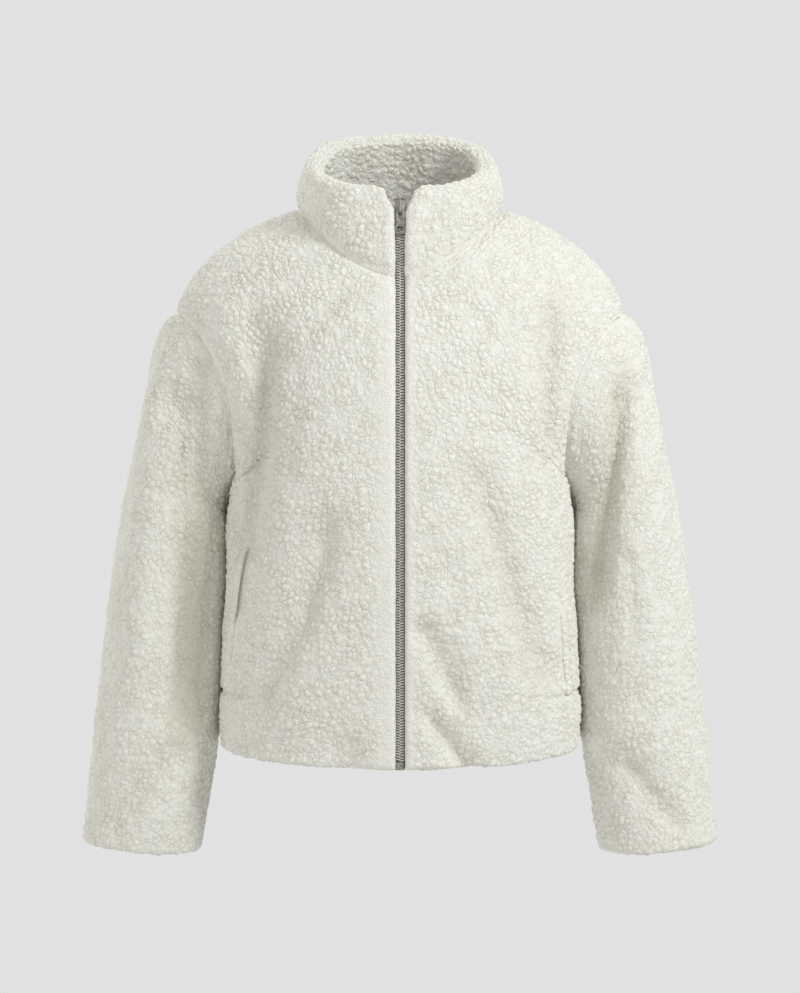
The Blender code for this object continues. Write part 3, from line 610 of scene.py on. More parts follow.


# Creases that are finer than the solids' folds, placed where the photograph shows them.
FINE_CREASES = (
    Fold("body", "front", -0.124, -0.150, -0.129, -0.230, 0.009, -0.0030),
    Fold("body", "front", -0.131, -0.240, -0.150, -0.365, 0.009, -0.0035),
    Fold("body", "front", -0.070, -0.305, -0.085, -0.370, 0.008, -0.0030),
    Fold("body", "front", -0.090, -0.382, -0.124, -0.445, 0.008, -0.0025),
    Fold("body", "front", -0.096, -0.140, -0.103, -0.240, 0.009, -0.0022),
    Fold("body", "front", -0.148, -0.130, -0.146, -0.200, 0.008, 0.0022),
    Fold("body", "front", -0.058, -0.080, -0.086, -0.120, 0.007, -0.0018),
    Fold("body", "front", 0.020, -0.386, 0.052, -0.446, 0.009, -0.0042),
    Fold("body", "front", 0.028, -0.466, 0.060, -0.512, 0.008, -0.0036),
    Fold("body", "front", 0.082, -0.275, 0.122, -0.405, 0.009, -0.0030),
    Fold("body", "front", 0.028, -0.305, 0.048, -0.335, 0.009, -0.0020),
    Fold("body", "front", 0.141, -0.105, 0.137, -0.200, 0.008, -0.0035),
    Fold("body", "front", 0.062, -0.085, 0.092, -0.120, 0.007, -0.0018),
    Fold("body", "back", -0.108, -0.150, -0.124, -0.310, 0.009, -0.0030),
    Fold("body", "back", 0.102, -0.165, 0.127, -0.320, 0.009, -0.0030),
    Fold("body", "back", -0.058, -0.370, -0.036, -0.500, 0.008, -0.0025),
    Fold("body", "back", 0.054, -0.345, 0.078, -0.480, 0.008, -0.0028),
    # Painted shadow: the next two creases carry large shade weights, which paint the body's shadow into the
    # pile's colour on the inner side of this sleeve.
    Fold("sleeve", "front", -0.188, -0.150, -0.188, -0.300, 0.013, -0.0060, tint=1.7),
    Fold("sleeve", "front", -0.192, -0.310, -0.206, -0.480, 0.018, -0.0060, tint=3.2),
    Fold("sleeve", "front", -0.226, -0.330, -0.236, -0.470, 0.009, -0.0022),
    Fold("sleeve", "front", -0.222, -0.512, -0.258, -0.560, 0.008, -0.0028),
    Fold("sleeve", "front", -0.212, -0.150, -0.226, -0.215, 0.008, -0.0022),
    Fold("sleeve", "front", 0.207, -0.180, 0.188, -0.335, 0.009, -0.0042),
    Fold("sleeve", "front", 0.216, -0.330, 0.221, -0.450, 0.009, -0.0022),
    Fold("sleeve", "front", 0.222, -0.530, 0.258, -0.574, 0.008, -0.0028),
    Fold("sleeve", "back", -0.212, -0.220, -0.225, -0.390, 0.009, -0.0032),
    Fold("sleeve", "back", 0.214, -0.210, 0.221, -0.370, 0.009, -0.0032),
    Fold("sleeve", "back", -0.222, -0.490, -0.260, -0.530, 0.008, -0.0025),
    Fold("sleeve", "back", 0.226, -0.480, 0.258, -0.528, 0.008, -0.0025),
)
# The hem's turn-up: a stitched line that shows at the sides, and a little more fullness below it.
HEM_LINE_Z = -0.452
HEM_LINE_FROM = 0.125
HEM_LINE_FADE = 0.03
HEM_LINE_HALF = 0.003
HEM_LINE_DEPTH = 0.0032
HEM_SWELL = 0.0016
HEM_SWELL_BELOW = 0.022
HEM_SWELL_HALF = 0.020
HEM_SWELL_MIDDLE = 0.4


# ------------------------------------------------------------------------------------------------
# Meshes


class MeshDraft:
    """Points and faces gathered for one mesh, with the attributes that its pile reads."""

    def __init__(self) -> None:
        """Start empty."""
        self.points: list[np.ndarray] = []
        self.pile: list[np.ndarray] = []
        self.tuck: list[np.ndarray] = []
        self.faces: list[np.ndarray] = []
        self.kinds: list[np.ndarray] = []
        self.count = 0

    def add_points(
        self, points: np.ndarray, pile: np.ndarray | float, tuck: np.ndarray | float = 0.0
    ) -> np.ndarray:
        """Add points and return their indices.

        Args:
            points: Points in any grid shape.
            pile: How much of the pile's relief each one gets, from 0 to 1.
            tuck: How much shade is painted into its colour, by how deep in a fold it lies, from 0 to 1.

        Returns:
            Indices in the same grid shape.
        """
        shape = points.shape[:-1]
        size = int(np.prod(shape))
        self.points.append(points.reshape(-1, 3))
        self.pile.append(np.broadcast_to(pile, shape).reshape(-1))
        self.tuck.append(np.broadcast_to(tuck, shape).reshape(-1))
        index = np.arange(self.count, self.count + size).reshape(shape)
        self.count += size
        return index

    def add_faces(self, faces: np.ndarray, kind: Face) -> None:
        """Add faces of three or four corners, on one face of the cloth."""
        faces = np.asarray(faces, int)
        if len(faces):
            if faces.shape[1] == 3:
                faces = np.column_stack([faces, np.full(len(faces), -1)])
            self.faces.append(faces)
            self.kinds.append(np.full(len(faces), kind.value))

    def add_grid(self, index: np.ndarray, kind: Face, closed: bool = False, flip: bool = False) -> None:
        """Add the quads of a grid of indices.

        Args:
            index: Grid of point indices.
            kind: The face of the cloth.
            closed: Whether the columns run round.
            flip: Whether the faces point the other way.
        """
        wide = np.concatenate([index, index[:, :1]], axis=1) if closed else index
        quads = np.stack([wide[:-1, :-1], wide[:-1, 1:], wide[1:, 1:], wide[1:, :-1]], axis=-1).reshape(-1, 4)
        self.add_faces(quads[:, ::-1] if flip else quads, kind)

    def bridge(self, many: np.ndarray, few: np.ndarray, kind: Face) -> None:
        """Close the strip between two borders, one of which has a whole number of times the other's steps.

        Args:
            many: Indices along the finer border.
            few: Indices along the coarser border, in the same order.
            kind: The face of the cloth.
        """
        ratio = (len(many) - 1) // (len(few) - 1)
        half = ratio // 2
        faces = []
        for i in range(len(few) - 1):
            start = i * ratio
            for j in range(start, start + half):
                faces.append((many[j], few[i], many[j + 1]))
            for j in range(start + half, start + ratio):
                faces.append((many[j], few[i + 1], many[j + 1]))
            faces.append((many[start + half], few[i], few[i + 1]))
        self.add_faces(np.array(faces), kind)

    def to_object(self, name: str, materials: Sequence[bpy.types.Material]) -> bpy.types.Object:
        """Make the mesh object.

        Args:
            name: Object name.
            materials: One for each kind of face, in order.

        Returns:
            The linked object.
        """
        points = np.vstack(self.points)
        faces = np.vstack(self.faces)
        kinds = np.concatenate(self.kinds)
        corners = np.where(faces[:, 3] < 0, 3, 4)
        starts = np.concatenate([[0], np.cumsum(corners)[:-1]])
        loops = faces[faces >= 0]
        mesh = bpy.data.meshes.new(name)
        mesh.vertices.add(len(points))
        mesh.vertices.foreach_set("co", points.astype(np.float32).ravel())
        mesh.loops.add(len(loops))
        mesh.loops.foreach_set("vertex_index", loops.astype(np.int32))
        mesh.polygons.add(len(faces))
        mesh.polygons.foreach_set("loop_start", starts.astype(np.int32))
        mesh.polygons.foreach_set("material_index", kinds.astype(np.int32))
        mesh.update(calc_edges=True)
        mesh.shade_smooth()
        # The second attribute carries the shade painted into the pile's colour in the folds.
        for key, values in (("pile", self.pile), ("tuck", self.tuck)):
            column = mesh.attributes.new(key, "FLOAT", "POINT")
            column.data.foreach_set("value", np.concatenate(values).astype(np.float32))
        for material in materials:
            mesh.materials.append(material)
        piece = bpy.data.objects.new(name, mesh)
        bpy.context.scene.collection.objects.link(piece)
        return piece


def triangle_count(piece: bpy.types.Object) -> int:
    """Number of triangles in a plain mesh object."""
    return sum(len(face.vertices) - 2 for face in piece.data.polygons)


# ------------------------------------------------------------------------------------------------
# Node trees


class Wiring:
    """Adds nodes to a shader or geometry tree and links them by what is passed in."""

    def __init__(self, tree: bpy.types.NodeTree) -> None:
        """Wire up one tree."""
        self.tree = tree

    def add(self, kind: str, inputs: dict[Any, Any] | None = None, **settings: Any) -> bpy.types.Node:
        """Add a node.

        Args:
            kind: Blender's node type.
            inputs: Values or output sockets by input name or index.
            settings: Attributes of the node.

        Returns:
            The node.
        """
        node = self.tree.nodes.new(kind)
        for key, value in settings.items():
            setattr(node, key, value)
        self.feed(node, inputs or {})
        return node

    def feed(self, node: bpy.types.Node, inputs: dict[Any, Any]) -> None:
        """Set a node's inputs by name or index, or link the sockets that are given for them."""
        for key, value in inputs.items():
            if isinstance(value, bpy.types.NodeSocket):
                self.tree.links.new(value, node.inputs[key])
            else:
                node.inputs[key].default_value = value

    def math(self, operation: str, *values: Any, clamp: bool = False) -> bpy.types.NodeSocket:
        """Result of a Math node on values or sockets."""
        node = self.add("ShaderNodeMath", dict(enumerate(values)), operation=operation, use_clamp=clamp)
        return node.outputs[0]

    def vector(self, operation: str, inputs: dict[int, Any]) -> bpy.types.NodeSocket:
        """Result of a Vector Math node."""
        return self.add("ShaderNodeVectorMath", inputs, operation=operation).outputs[0]

    def scaled(self, value: Any, scale: Any) -> bpy.types.NodeSocket:
        """A vector times a number."""
        return self.add("ShaderNodeVectorMath", {0: value, "Scale": scale}, operation="SCALE").outputs[0]

    def mixed(self, share: Any, first: Any, second: Any) -> bpy.types.NodeSocket:
        """A colour between two, each given as a colour or as a socket."""
        inputs = {"Factor": share}
        for key, value in ((6, first), (7, second)):
            inputs[key] = value if isinstance(value, bpy.types.NodeSocket) else (*value, 1.0)
        return self.add("ShaderNodeMix", inputs, data_type="RGBA").outputs[2]

    def noise(self, at: bpy.types.NodeSocket, scale: float, detail: float) -> bpy.types.Node:
        """A noise texture looked up at a place."""
        return self.add("ShaderNodeTexNoise", {"Vector": at, "Scale": scale, "Detail": detail})

    def moved(self, at: bpy.types.NodeSocket, noise: bpy.types.Node, reach: float) -> bpy.types.NodeSocket:
        """A place moved by a noise's colour, by up to reach each way."""
        turned = self.vector("SUBTRACT", {0: noise.outputs["Color"], 1: (0.5, 0.5, 0.5)})
        return self.vector("ADD", {0: at, 1: self.scaled(turned, 2 * reach)})

    def cells(self, at: bpy.types.NodeSocket, size: float, feature: str) -> bpy.types.NodeSocket:
        """Distance from the middle or the border of irregular cells of one size."""
        node = self.add("ShaderNodeTexVoronoi", {"Vector": at, "Scale": 1 / size}, feature=feature)
        return node.outputs["Distance"]

    def waves(self, at: bpy.types.NodeSocket, scale: float, axis: str, bent: float) -> bpy.types.NodeSocket:
        """Bands across an axis, a little bent."""
        inputs = {"Vector": at, "Scale": scale, "Distortion": bent}
        return self.add("ShaderNodeTexWave", inputs, bands_direction=axis).outputs["Fac"]

    def bump(self, height: Any, strength: float, depth: float) -> bpy.types.NodeSocket:
        """A normal that shows a height as small relief."""
        inputs = {"Strength": strength, "Distance": depth, "Height": height}
        return self.add("ShaderNodeBump", inputs).outputs[0]

    def ramp(self, value: Any, low: float, high: float) -> bpy.types.NodeSocket:
        """A smooth step of value from 0 at low to 1 at high."""
        node = self.add(
            "ShaderNodeMapRange",
            {"Value": value, "From Min": low, "From Max": high},
            interpolation_type="SMOOTHSTEP",
        )
        return node.outputs["Result"]


@dataclass(frozen=True)
class PileForm:
    """Sizes of the sherpa's pile: clumps, nubs with creases between them, and the curls on them.

    Attributes:
        nub: Size of one nub.
        curl: Size of the curls on it.
        clump: Size of the clumps.
        wander: How far the noise moves the nubs' places.
        wander_size: Size of that noise.
        relief: Height of a nub in coarse pile.
        clump_relief: Height of the clumps.
        detail: Detail of both noises.
        coarse_ramp: Clump noise over which the pile turns from fine to coarse.
        open_ramp: Wander noise over which the creases open.
        least_open: How open they are at the least.
        side_ramp: Distance from a nub's border, in nubs, over which its side rises.
        dome_fall: How fast a nub's dome falls from its middle.
        dome_share: The dome's share of a nub's height; its side has the rest.
        fine_relief: Share of the relief that fine pile has.
        sunk_share: Share of the relief that lies below the smooth cloth.
    """

    nub: float = 0.0055
    curl: float = 0.0024
    clump: float = 0.026
    wander: float = 0.0042
    wander_size: float = 0.0100
    relief: float = 0.0020
    clump_relief: float = 0.0024
    detail: float = 3.0
    coarse_ramp: tuple[float, float] = (0.40, 0.58)
    open_ramp: tuple[float, float] = (0.36, 0.60)
    least_open: float = 0.45
    side_ramp: tuple[float, float] = (0.0, 0.36)
    dome_fall: float = 1.6
    dome_share: float = 0.28
    fine_relief: float = 0.70
    sunk_share: float = 0.6


class PileModifier:
    """Geometry Nodes that raise the pile's nubs and keep what its material reads.

    Each point keeps in `pile_at` the place at which its nub is looked up, and in `pile_look` how
    open the creases are there, how high on a nub it lies, and how coarse the pile is.
    """

    GEOMETRY, SHARE = "Cloth", "Share"

    def __init__(self, form: PileForm) -> None:
        """Build the tree from the pile's sizes."""
        self.form = form
        self.tree = bpy.data.node_groups.new("sherpa pile", "GeometryNodeTree")
        face = self.tree.interface
        face.new_socket(self.GEOMETRY, in_out="INPUT", socket_type="NodeSocketGeometry")
        share = face.new_socket(self.SHARE, in_out="INPUT", socket_type="NodeSocketFloat")
        face.new_socket(self.GEOMETRY, in_out="OUTPUT", socket_type="NodeSocketGeometry")
        self.share_socket = share.identifier
        self._wire()

    def _wire(self) -> None:
        """Link the nodes of the tree."""
        form, wires = self.form, Wiring(self.tree)
        given = wires.add("NodeGroupInput")
        at = wires.add("GeometryNodeInputPosition").outputs[0]
        share = wires.add("GeometryNodeInputNamedAttribute", {"Name": "pile"}, data_type="FLOAT").outputs[0]
        swirl = wires.noise(at, 1 / form.wander_size, form.detail)
        moved = wires.moved(at, swirl, form.wander)
        from_middle = wires.cells(moved, form.nub, "F1")
        from_border = wires.cells(moved, form.nub, "DISTANCE_TO_EDGE")
        clump = wires.noise(at, 1 / form.clump, form.detail)
        coarse = wires.ramp(clump.outputs["Fac"], *form.coarse_ramp)
        near = wires.math("MULTIPLY", from_middle, from_middle)
        dome = wires.math("MULTIPLY_ADD", near, -form.dome_fall, 1.0, clamp=True)
        opened = wires.ramp(swirl.outputs["Fac"], *form.open_ramp)
        broken = wires.math("MULTIPLY_ADD", opened, 1 - form.least_open, form.least_open)
        side = wires.math("MULTIPLY", wires.ramp(from_border, *form.side_ramp), 1 - form.dome_share)
        top = wires.math("MULTIPLY_ADD", dome, form.dome_share, side)
        deep = wires.math("MULTIPLY_ADD", coarse, 1 - form.fine_relief, form.fine_relief)
        lifted = wires.math("MULTIPLY_ADD", top, form.relief, -form.sunk_share * form.relief)
        lifted = wires.math("MULTIPLY", lifted, deep)
        swell = wires.math("MULTIPLY_ADD", clump.outputs["Fac"], form.clump_relief, -form.clump_relief / 2)
        height = wires.math("MULTIPLY", wires.math("ADD", lifted, swell), share)
        height = wires.math("MULTIPLY", height, given.outputs[self.SHARE])
        broken = wires.math("MULTIPLY", broken, share)
        look = wires.add("ShaderNodeCombineXYZ", {0: broken, 1: dome, 2: coarse})
        offset = wires.scaled(wires.add("GeometryNodeInputNormal").outputs[0], height)
        kept = given.outputs[self.GEOMETRY]
        for name, value in (("pile_at", moved), ("pile_look", look.outputs[0])):
            kept = wires.add(
                "GeometryNodeStoreNamedAttribute",
                {"Geometry": kept, "Name": name, "Value": value},
                data_type="FLOAT_VECTOR",
                domain="POINT",
            ).outputs[0]
        raised = wires.add("GeometryNodeSetPosition", {"Geometry": kept, "Offset": offset})
        made = wires.add("NodeGroupOutput")
        self.tree.links.new(raised.outputs[0], made.inputs[0])

    def raise_on(self, piece: bpy.types.Object, share: float = 1.0) -> None:
        """Turn a smooth shell into a plain mesh with its pile raised.

        Args:
            piece: The shell, whose mesh is replaced.
            share: How much of the pile's height it gets.
        """
        modifier = piece.modifiers.new("pile", "NODES")
        modifier.node_group = self.tree
        modifier[self.share_socket] = share
        apply_modifiers(piece)


def apply_modifiers(piece: bpy.types.Object) -> None:
    """Replace an object's mesh by its evaluated one and drop its modifiers."""
    bpy.context.view_layer.update()
    graph = bpy.context.evaluated_depsgraph_get()
    plain = bpy.data.meshes.new_from_object(piece.evaluated_get(graph), depsgraph=graph)
    piece.modifiers.clear()
    old = piece.data
    piece.data = plain
    plain.name = piece.name
    bpy.data.meshes.remove(old)


# ------------------------------------------------------------------------------------------------
# Finishes


def new_material(name: str) -> tuple[bpy.types.Material, Wiring, bpy.types.Node]:
    """Start a material.

    Args:
        name: Its name.

    Returns:
        The material, its wiring and its shader node.
    """
    material = bpy.data.materials.new(name)
    material.use_nodes = True
    return material, Wiring(material.node_tree), material.node_tree.nodes["Principled BSDF"]


@dataclass(frozen=True)
class SherpaFinish:
    """Cream curly pile: bright nubs with fine curls; its colour is warmer and darker in the creases and deep
    in the jacket's folds, as painted shade.

    Attributes:
        form: Sizes of the pile.
        nub_colour: Colour of the nubs in fine pile.
        warm_colour: Colour of the nubs in coarse pile.
        crease_colour: Painted shade in the creases between nubs, warmer and darker than the nubs.
        tuck_colour: Painted shade deep in the jacket's folds.
        tuck_strength: How far the pile takes that painted shade there.
        crease_strength: How far it takes the creases' painted shade in coarse pile.
        fine_crease: Share of that strength in fine pile.
        crease_ramp: Distance from a nub's border, in nubs, over which its crease fades.
        curl_ramp: Distance from a curl's border, in curls, over which its line fades.
        fine_share: How strong the curls' lines are beside the creases.
        tangle: How far the fibres move the nubs' borders.
        fibre_scale: Fibres in a metre.
        fibre_detail: Detail of the fibres.
        crease_relief: Share of the bump that is the creases' depth.
        curl_relief: Share of it that is the curls' roundness.
        dome_relief: Share of it that is the nubs' domes.
        fibre_relief: Share of it that is the fibres.
        bump_strength: Strength of the bump.
        bump_depth: Its depth.
        roughness: Roughness of the fibre.
        specular: Its specular level.
    """

    form: PileForm
    nub_colour: tuple = (0.900, 0.897, 0.848)
    warm_colour: tuple = (0.897, 0.891, 0.834)
    crease_colour: tuple = (0.56, 0.55, 0.46)
    tuck_colour: tuple = (0.64, 0.61, 0.50)
    tuck_strength: float = 0.62
    crease_strength: float = 0.58
    fine_crease: float = 0.8
    crease_ramp: tuple[float, float] = (0.0, 0.17)
    curl_ramp: tuple[float, float] = (0.0, 0.24)
    fine_share: float = 0.34
    tangle: float = 0.0005
    fibre_scale: float = 520.0
    fibre_detail: float = 3.0
    crease_relief: float = 0.6
    curl_relief: float = 0.6
    dome_relief: float = 0.2
    fibre_relief: float = 0.80
    bump_strength: float = 0.60
    bump_depth: float = 0.0014
    roughness: float = 0.92
    specular: float = 0.10

    def material(self) -> bpy.types.Material:
        """Make the material."""
        material, wires, shader = new_material("sherpa_pile")
        at = wires.add("ShaderNodeAttribute", attribute_name="pile_at").outputs["Vector"]
        look = wires.add("ShaderNodeAttribute", attribute_name="pile_look").outputs["Vector"]
        broken, dome, coarse = wires.add("ShaderNodeSeparateXYZ", {0: look}).outputs
        fibre = wires.noise(at, self.fibre_scale, self.fibre_detail)
        at = wires.moved(at, fibre, self.tangle)
        to_nub = wires.cells(at, self.form.nub, "DISTANCE_TO_EDGE")
        crease = wires.math("SUBTRACT", 1.0, wires.ramp(to_nub, *self.crease_ramp))
        crease = wires.math("MULTIPLY", crease, broken)
        from_curl = wires.cells(at, self.form.curl, "F1")
        to_curl = wires.cells(at, self.form.curl, "DISTANCE_TO_EDGE")
        fine = wires.math("SUBTRACT", 1.0, wires.ramp(to_curl, *self.curl_ramp))
        crease = wires.math("MAXIMUM", crease, wires.math("MULTIPLY", fine, self.fine_share))
        base = wires.mixed(coarse, self.nub_colour, self.warm_colour)
        # Painted shade: deep in the jacket's folds the colour darkens towards the fold shade colour.
        tuck = wires.add("ShaderNodeAttribute", attribute_name="tuck").outputs["Fac"]
        base = wires.mixed(wires.math("MULTIPLY", tuck, self.tuck_strength), base, self.tuck_colour)
        fuzz = wires.math("ADD", fibre.outputs["Fac"], 0.5)
        least = self.fine_crease * self.crease_strength
        strength = wires.math("MULTIPLY_ADD", coarse, self.crease_strength - least, least)
        # Painted shade: the creases between nubs and the curls' lines darken the pile's colour towards the
        # crease shade colour.
        crease_shade = wires.math("MULTIPLY", wires.math("MULTIPLY", crease, strength), fuzz, clamp=True)
        colour = wires.mixed(crease_shade, base, self.crease_colour)
        round_curl = wires.math("MULTIPLY", from_curl, from_curl)
        height = wires.math("MULTIPLY", dome, self.dome_relief)
        height = wires.math("MULTIPLY_ADD", crease, -self.crease_relief, height)
        height = wires.math("MULTIPLY_ADD", round_curl, -self.curl_relief, height)
        height = wires.math("MULTIPLY_ADD", fibre.outputs["Fac"], self.fibre_relief, height)
        relief = wires.bump(height, self.bump_strength, self.bump_depth)
        wires.feed(shader, {"Base Color": colour, "Normal": relief})
        wires.feed(shader, {"Roughness": self.roughness, "Specular IOR Level": self.specular})
        return material


@dataclass(frozen=True)
class KnitBackFinish:
    """The plain jersey back of the sherpa, in fine wales and courses."""

    colour: tuple = (0.74, 0.715, 0.65)
    groove_colour: tuple = (0.56, 0.53, 0.46)
    wale_scale: float = 200.0
    course_scale: float = 250.0
    wave: float = 1.2
    bump_strength: float = 0.4
    bump_depth: float = 0.0005
    roughness: float = 0.9
    specular: float = 0.15

    def material(self) -> bpy.types.Material:
        """Make the material."""
        material, wires, shader = new_material("knit_back")
        at = wires.add("ShaderNodeTexCoord").outputs["Object"]
        wales = wires.waves(at, self.wale_scale, "X", self.wave)
        courses = wires.waves(at, self.course_scale, "Z", self.wave)
        weave = wires.math("MULTIPLY", wales, courses)
        colour = wires.mixed(weave, self.groove_colour, self.colour)
        relief = wires.bump(weave, self.bump_strength, self.bump_depth)
        wires.feed(shader, {"Base Color": colour, "Normal": relief})
        wires.feed(shader, {"Roughness": self.roughness, "Specular IOR Level": self.specular})
        return material


@dataclass(frozen=True)
class MetalFinish:
    """Nickel-plated zip metal with fine wear."""

    name: str = "zip_nickel"
    colour: tuple = (0.40, 0.395, 0.36)
    dull_colour: tuple = (0.20, 0.195, 0.175)
    roughness: float = 0.30
    wear_scale: float = 420.0
    wear_detail: float = 4.0
    wear_ramp: tuple[float, float] = (0.40, 0.66)
    wear_roughness: float = 0.25
    polish: float = 0.1
    scratch_scale: float = 2600.0
    scratch_detail: float = 2.0
    bump_strength: float = 0.15
    bump_depth: float = 0.0001

    def material(self) -> bpy.types.Material:
        """Make the material."""
        material, wires, shader = new_material(self.name)
        at = wires.add("ShaderNodeTexCoord").outputs["Object"]
        wear = wires.noise(at, self.wear_scale, self.wear_detail).outputs["Fac"]
        scratch = wires.noise(at, self.scratch_scale, self.scratch_detail).outputs["Fac"]
        colour = wires.mixed(wires.ramp(wear, *self.wear_ramp), self.colour, self.dull_colour)
        rough = wires.math("MULTIPLY_ADD", wear, self.wear_roughness, self.roughness - self.polish)
        relief = wires.bump(scratch, self.bump_strength, self.bump_depth)
        wires.feed(shader, {"Base Color": colour, "Roughness": rough, "Normal": relief, "Metallic": 1.0})
        return material


@dataclass(frozen=True)
class TapeFinish:
    """Woven zip tape, in a fine herringbone."""

    colour: tuple = (0.70, 0.68, 0.61)
    groove_colour: tuple = (0.50, 0.48, 0.42)
    rib_scale: float = 420.0
    wave: float = 0.6
    bump_strength: float = 0.4
    bump_depth: float = 0.0003
    roughness: float = 0.85

    def material(self) -> bpy.types.Material:
        """Make the material."""
        material, wires, shader = new_material("woven_tape")
        at = wires.add("ShaderNodeTexCoord").outputs["Object"]
        weave = wires.waves(at, self.rib_scale, "Z", self.wave)
        colour = wires.mixed(weave, self.groove_colour, self.colour)
        relief = wires.bump(weave, self.bump_strength, self.bump_depth)
        wires.feed(shader, {"Base Color": colour, "Normal": relief, "Roughness": self.roughness})
        return material


# ------------------------------------------------------------------------------------------------
# Sub-assemblies


@dataclass(frozen=True)
class Border:
    """A stretch of a panel's border.

    Attributes:
        axis: 0 for a row at the grid's end, 1 for a column.
        end: 0 for the first, -1 for the last.
        free: Whether it is a free edge, not a seam.
        start: First row of a stretch along a column.
        stop: Last row of it, or None for the panel's last.
    """

    axis: int
    end: int
    free: bool = False
    start: int = 0
    stop: int | None = None

    def weight(self, rows: int, factor: int) -> np.ndarray | float:
        """How much each dense row belongs to the stretch, from 0 to 1.

        Args:
            rows: Number of dense rows.
            factor: Dense rows for each row of the cut.

        Returns:
            One weight for each row, as a column, or 1 for a border along a row.
        """
        if self.axis == 0:
            return 1.0
        row = np.arange(rows)[:, None] / factor
        weight = smooth(row - self.start + 1) if self.start else np.ones_like(row)
        return weight * smooth(self.stop - row + 1) if self.stop is not None else weight

    def indices(self, grid: np.ndarray, factor: int) -> np.ndarray:
        """The stretch's point indices in a grid of indices with so many rows for each row of the cut."""
        line = np.take(grid, self.end, axis=self.axis)
        if self.axis == 0:
            return line
        stop = len(line) if self.stop is None else self.stop * factor + 1
        return line[self.start * factor : stop]


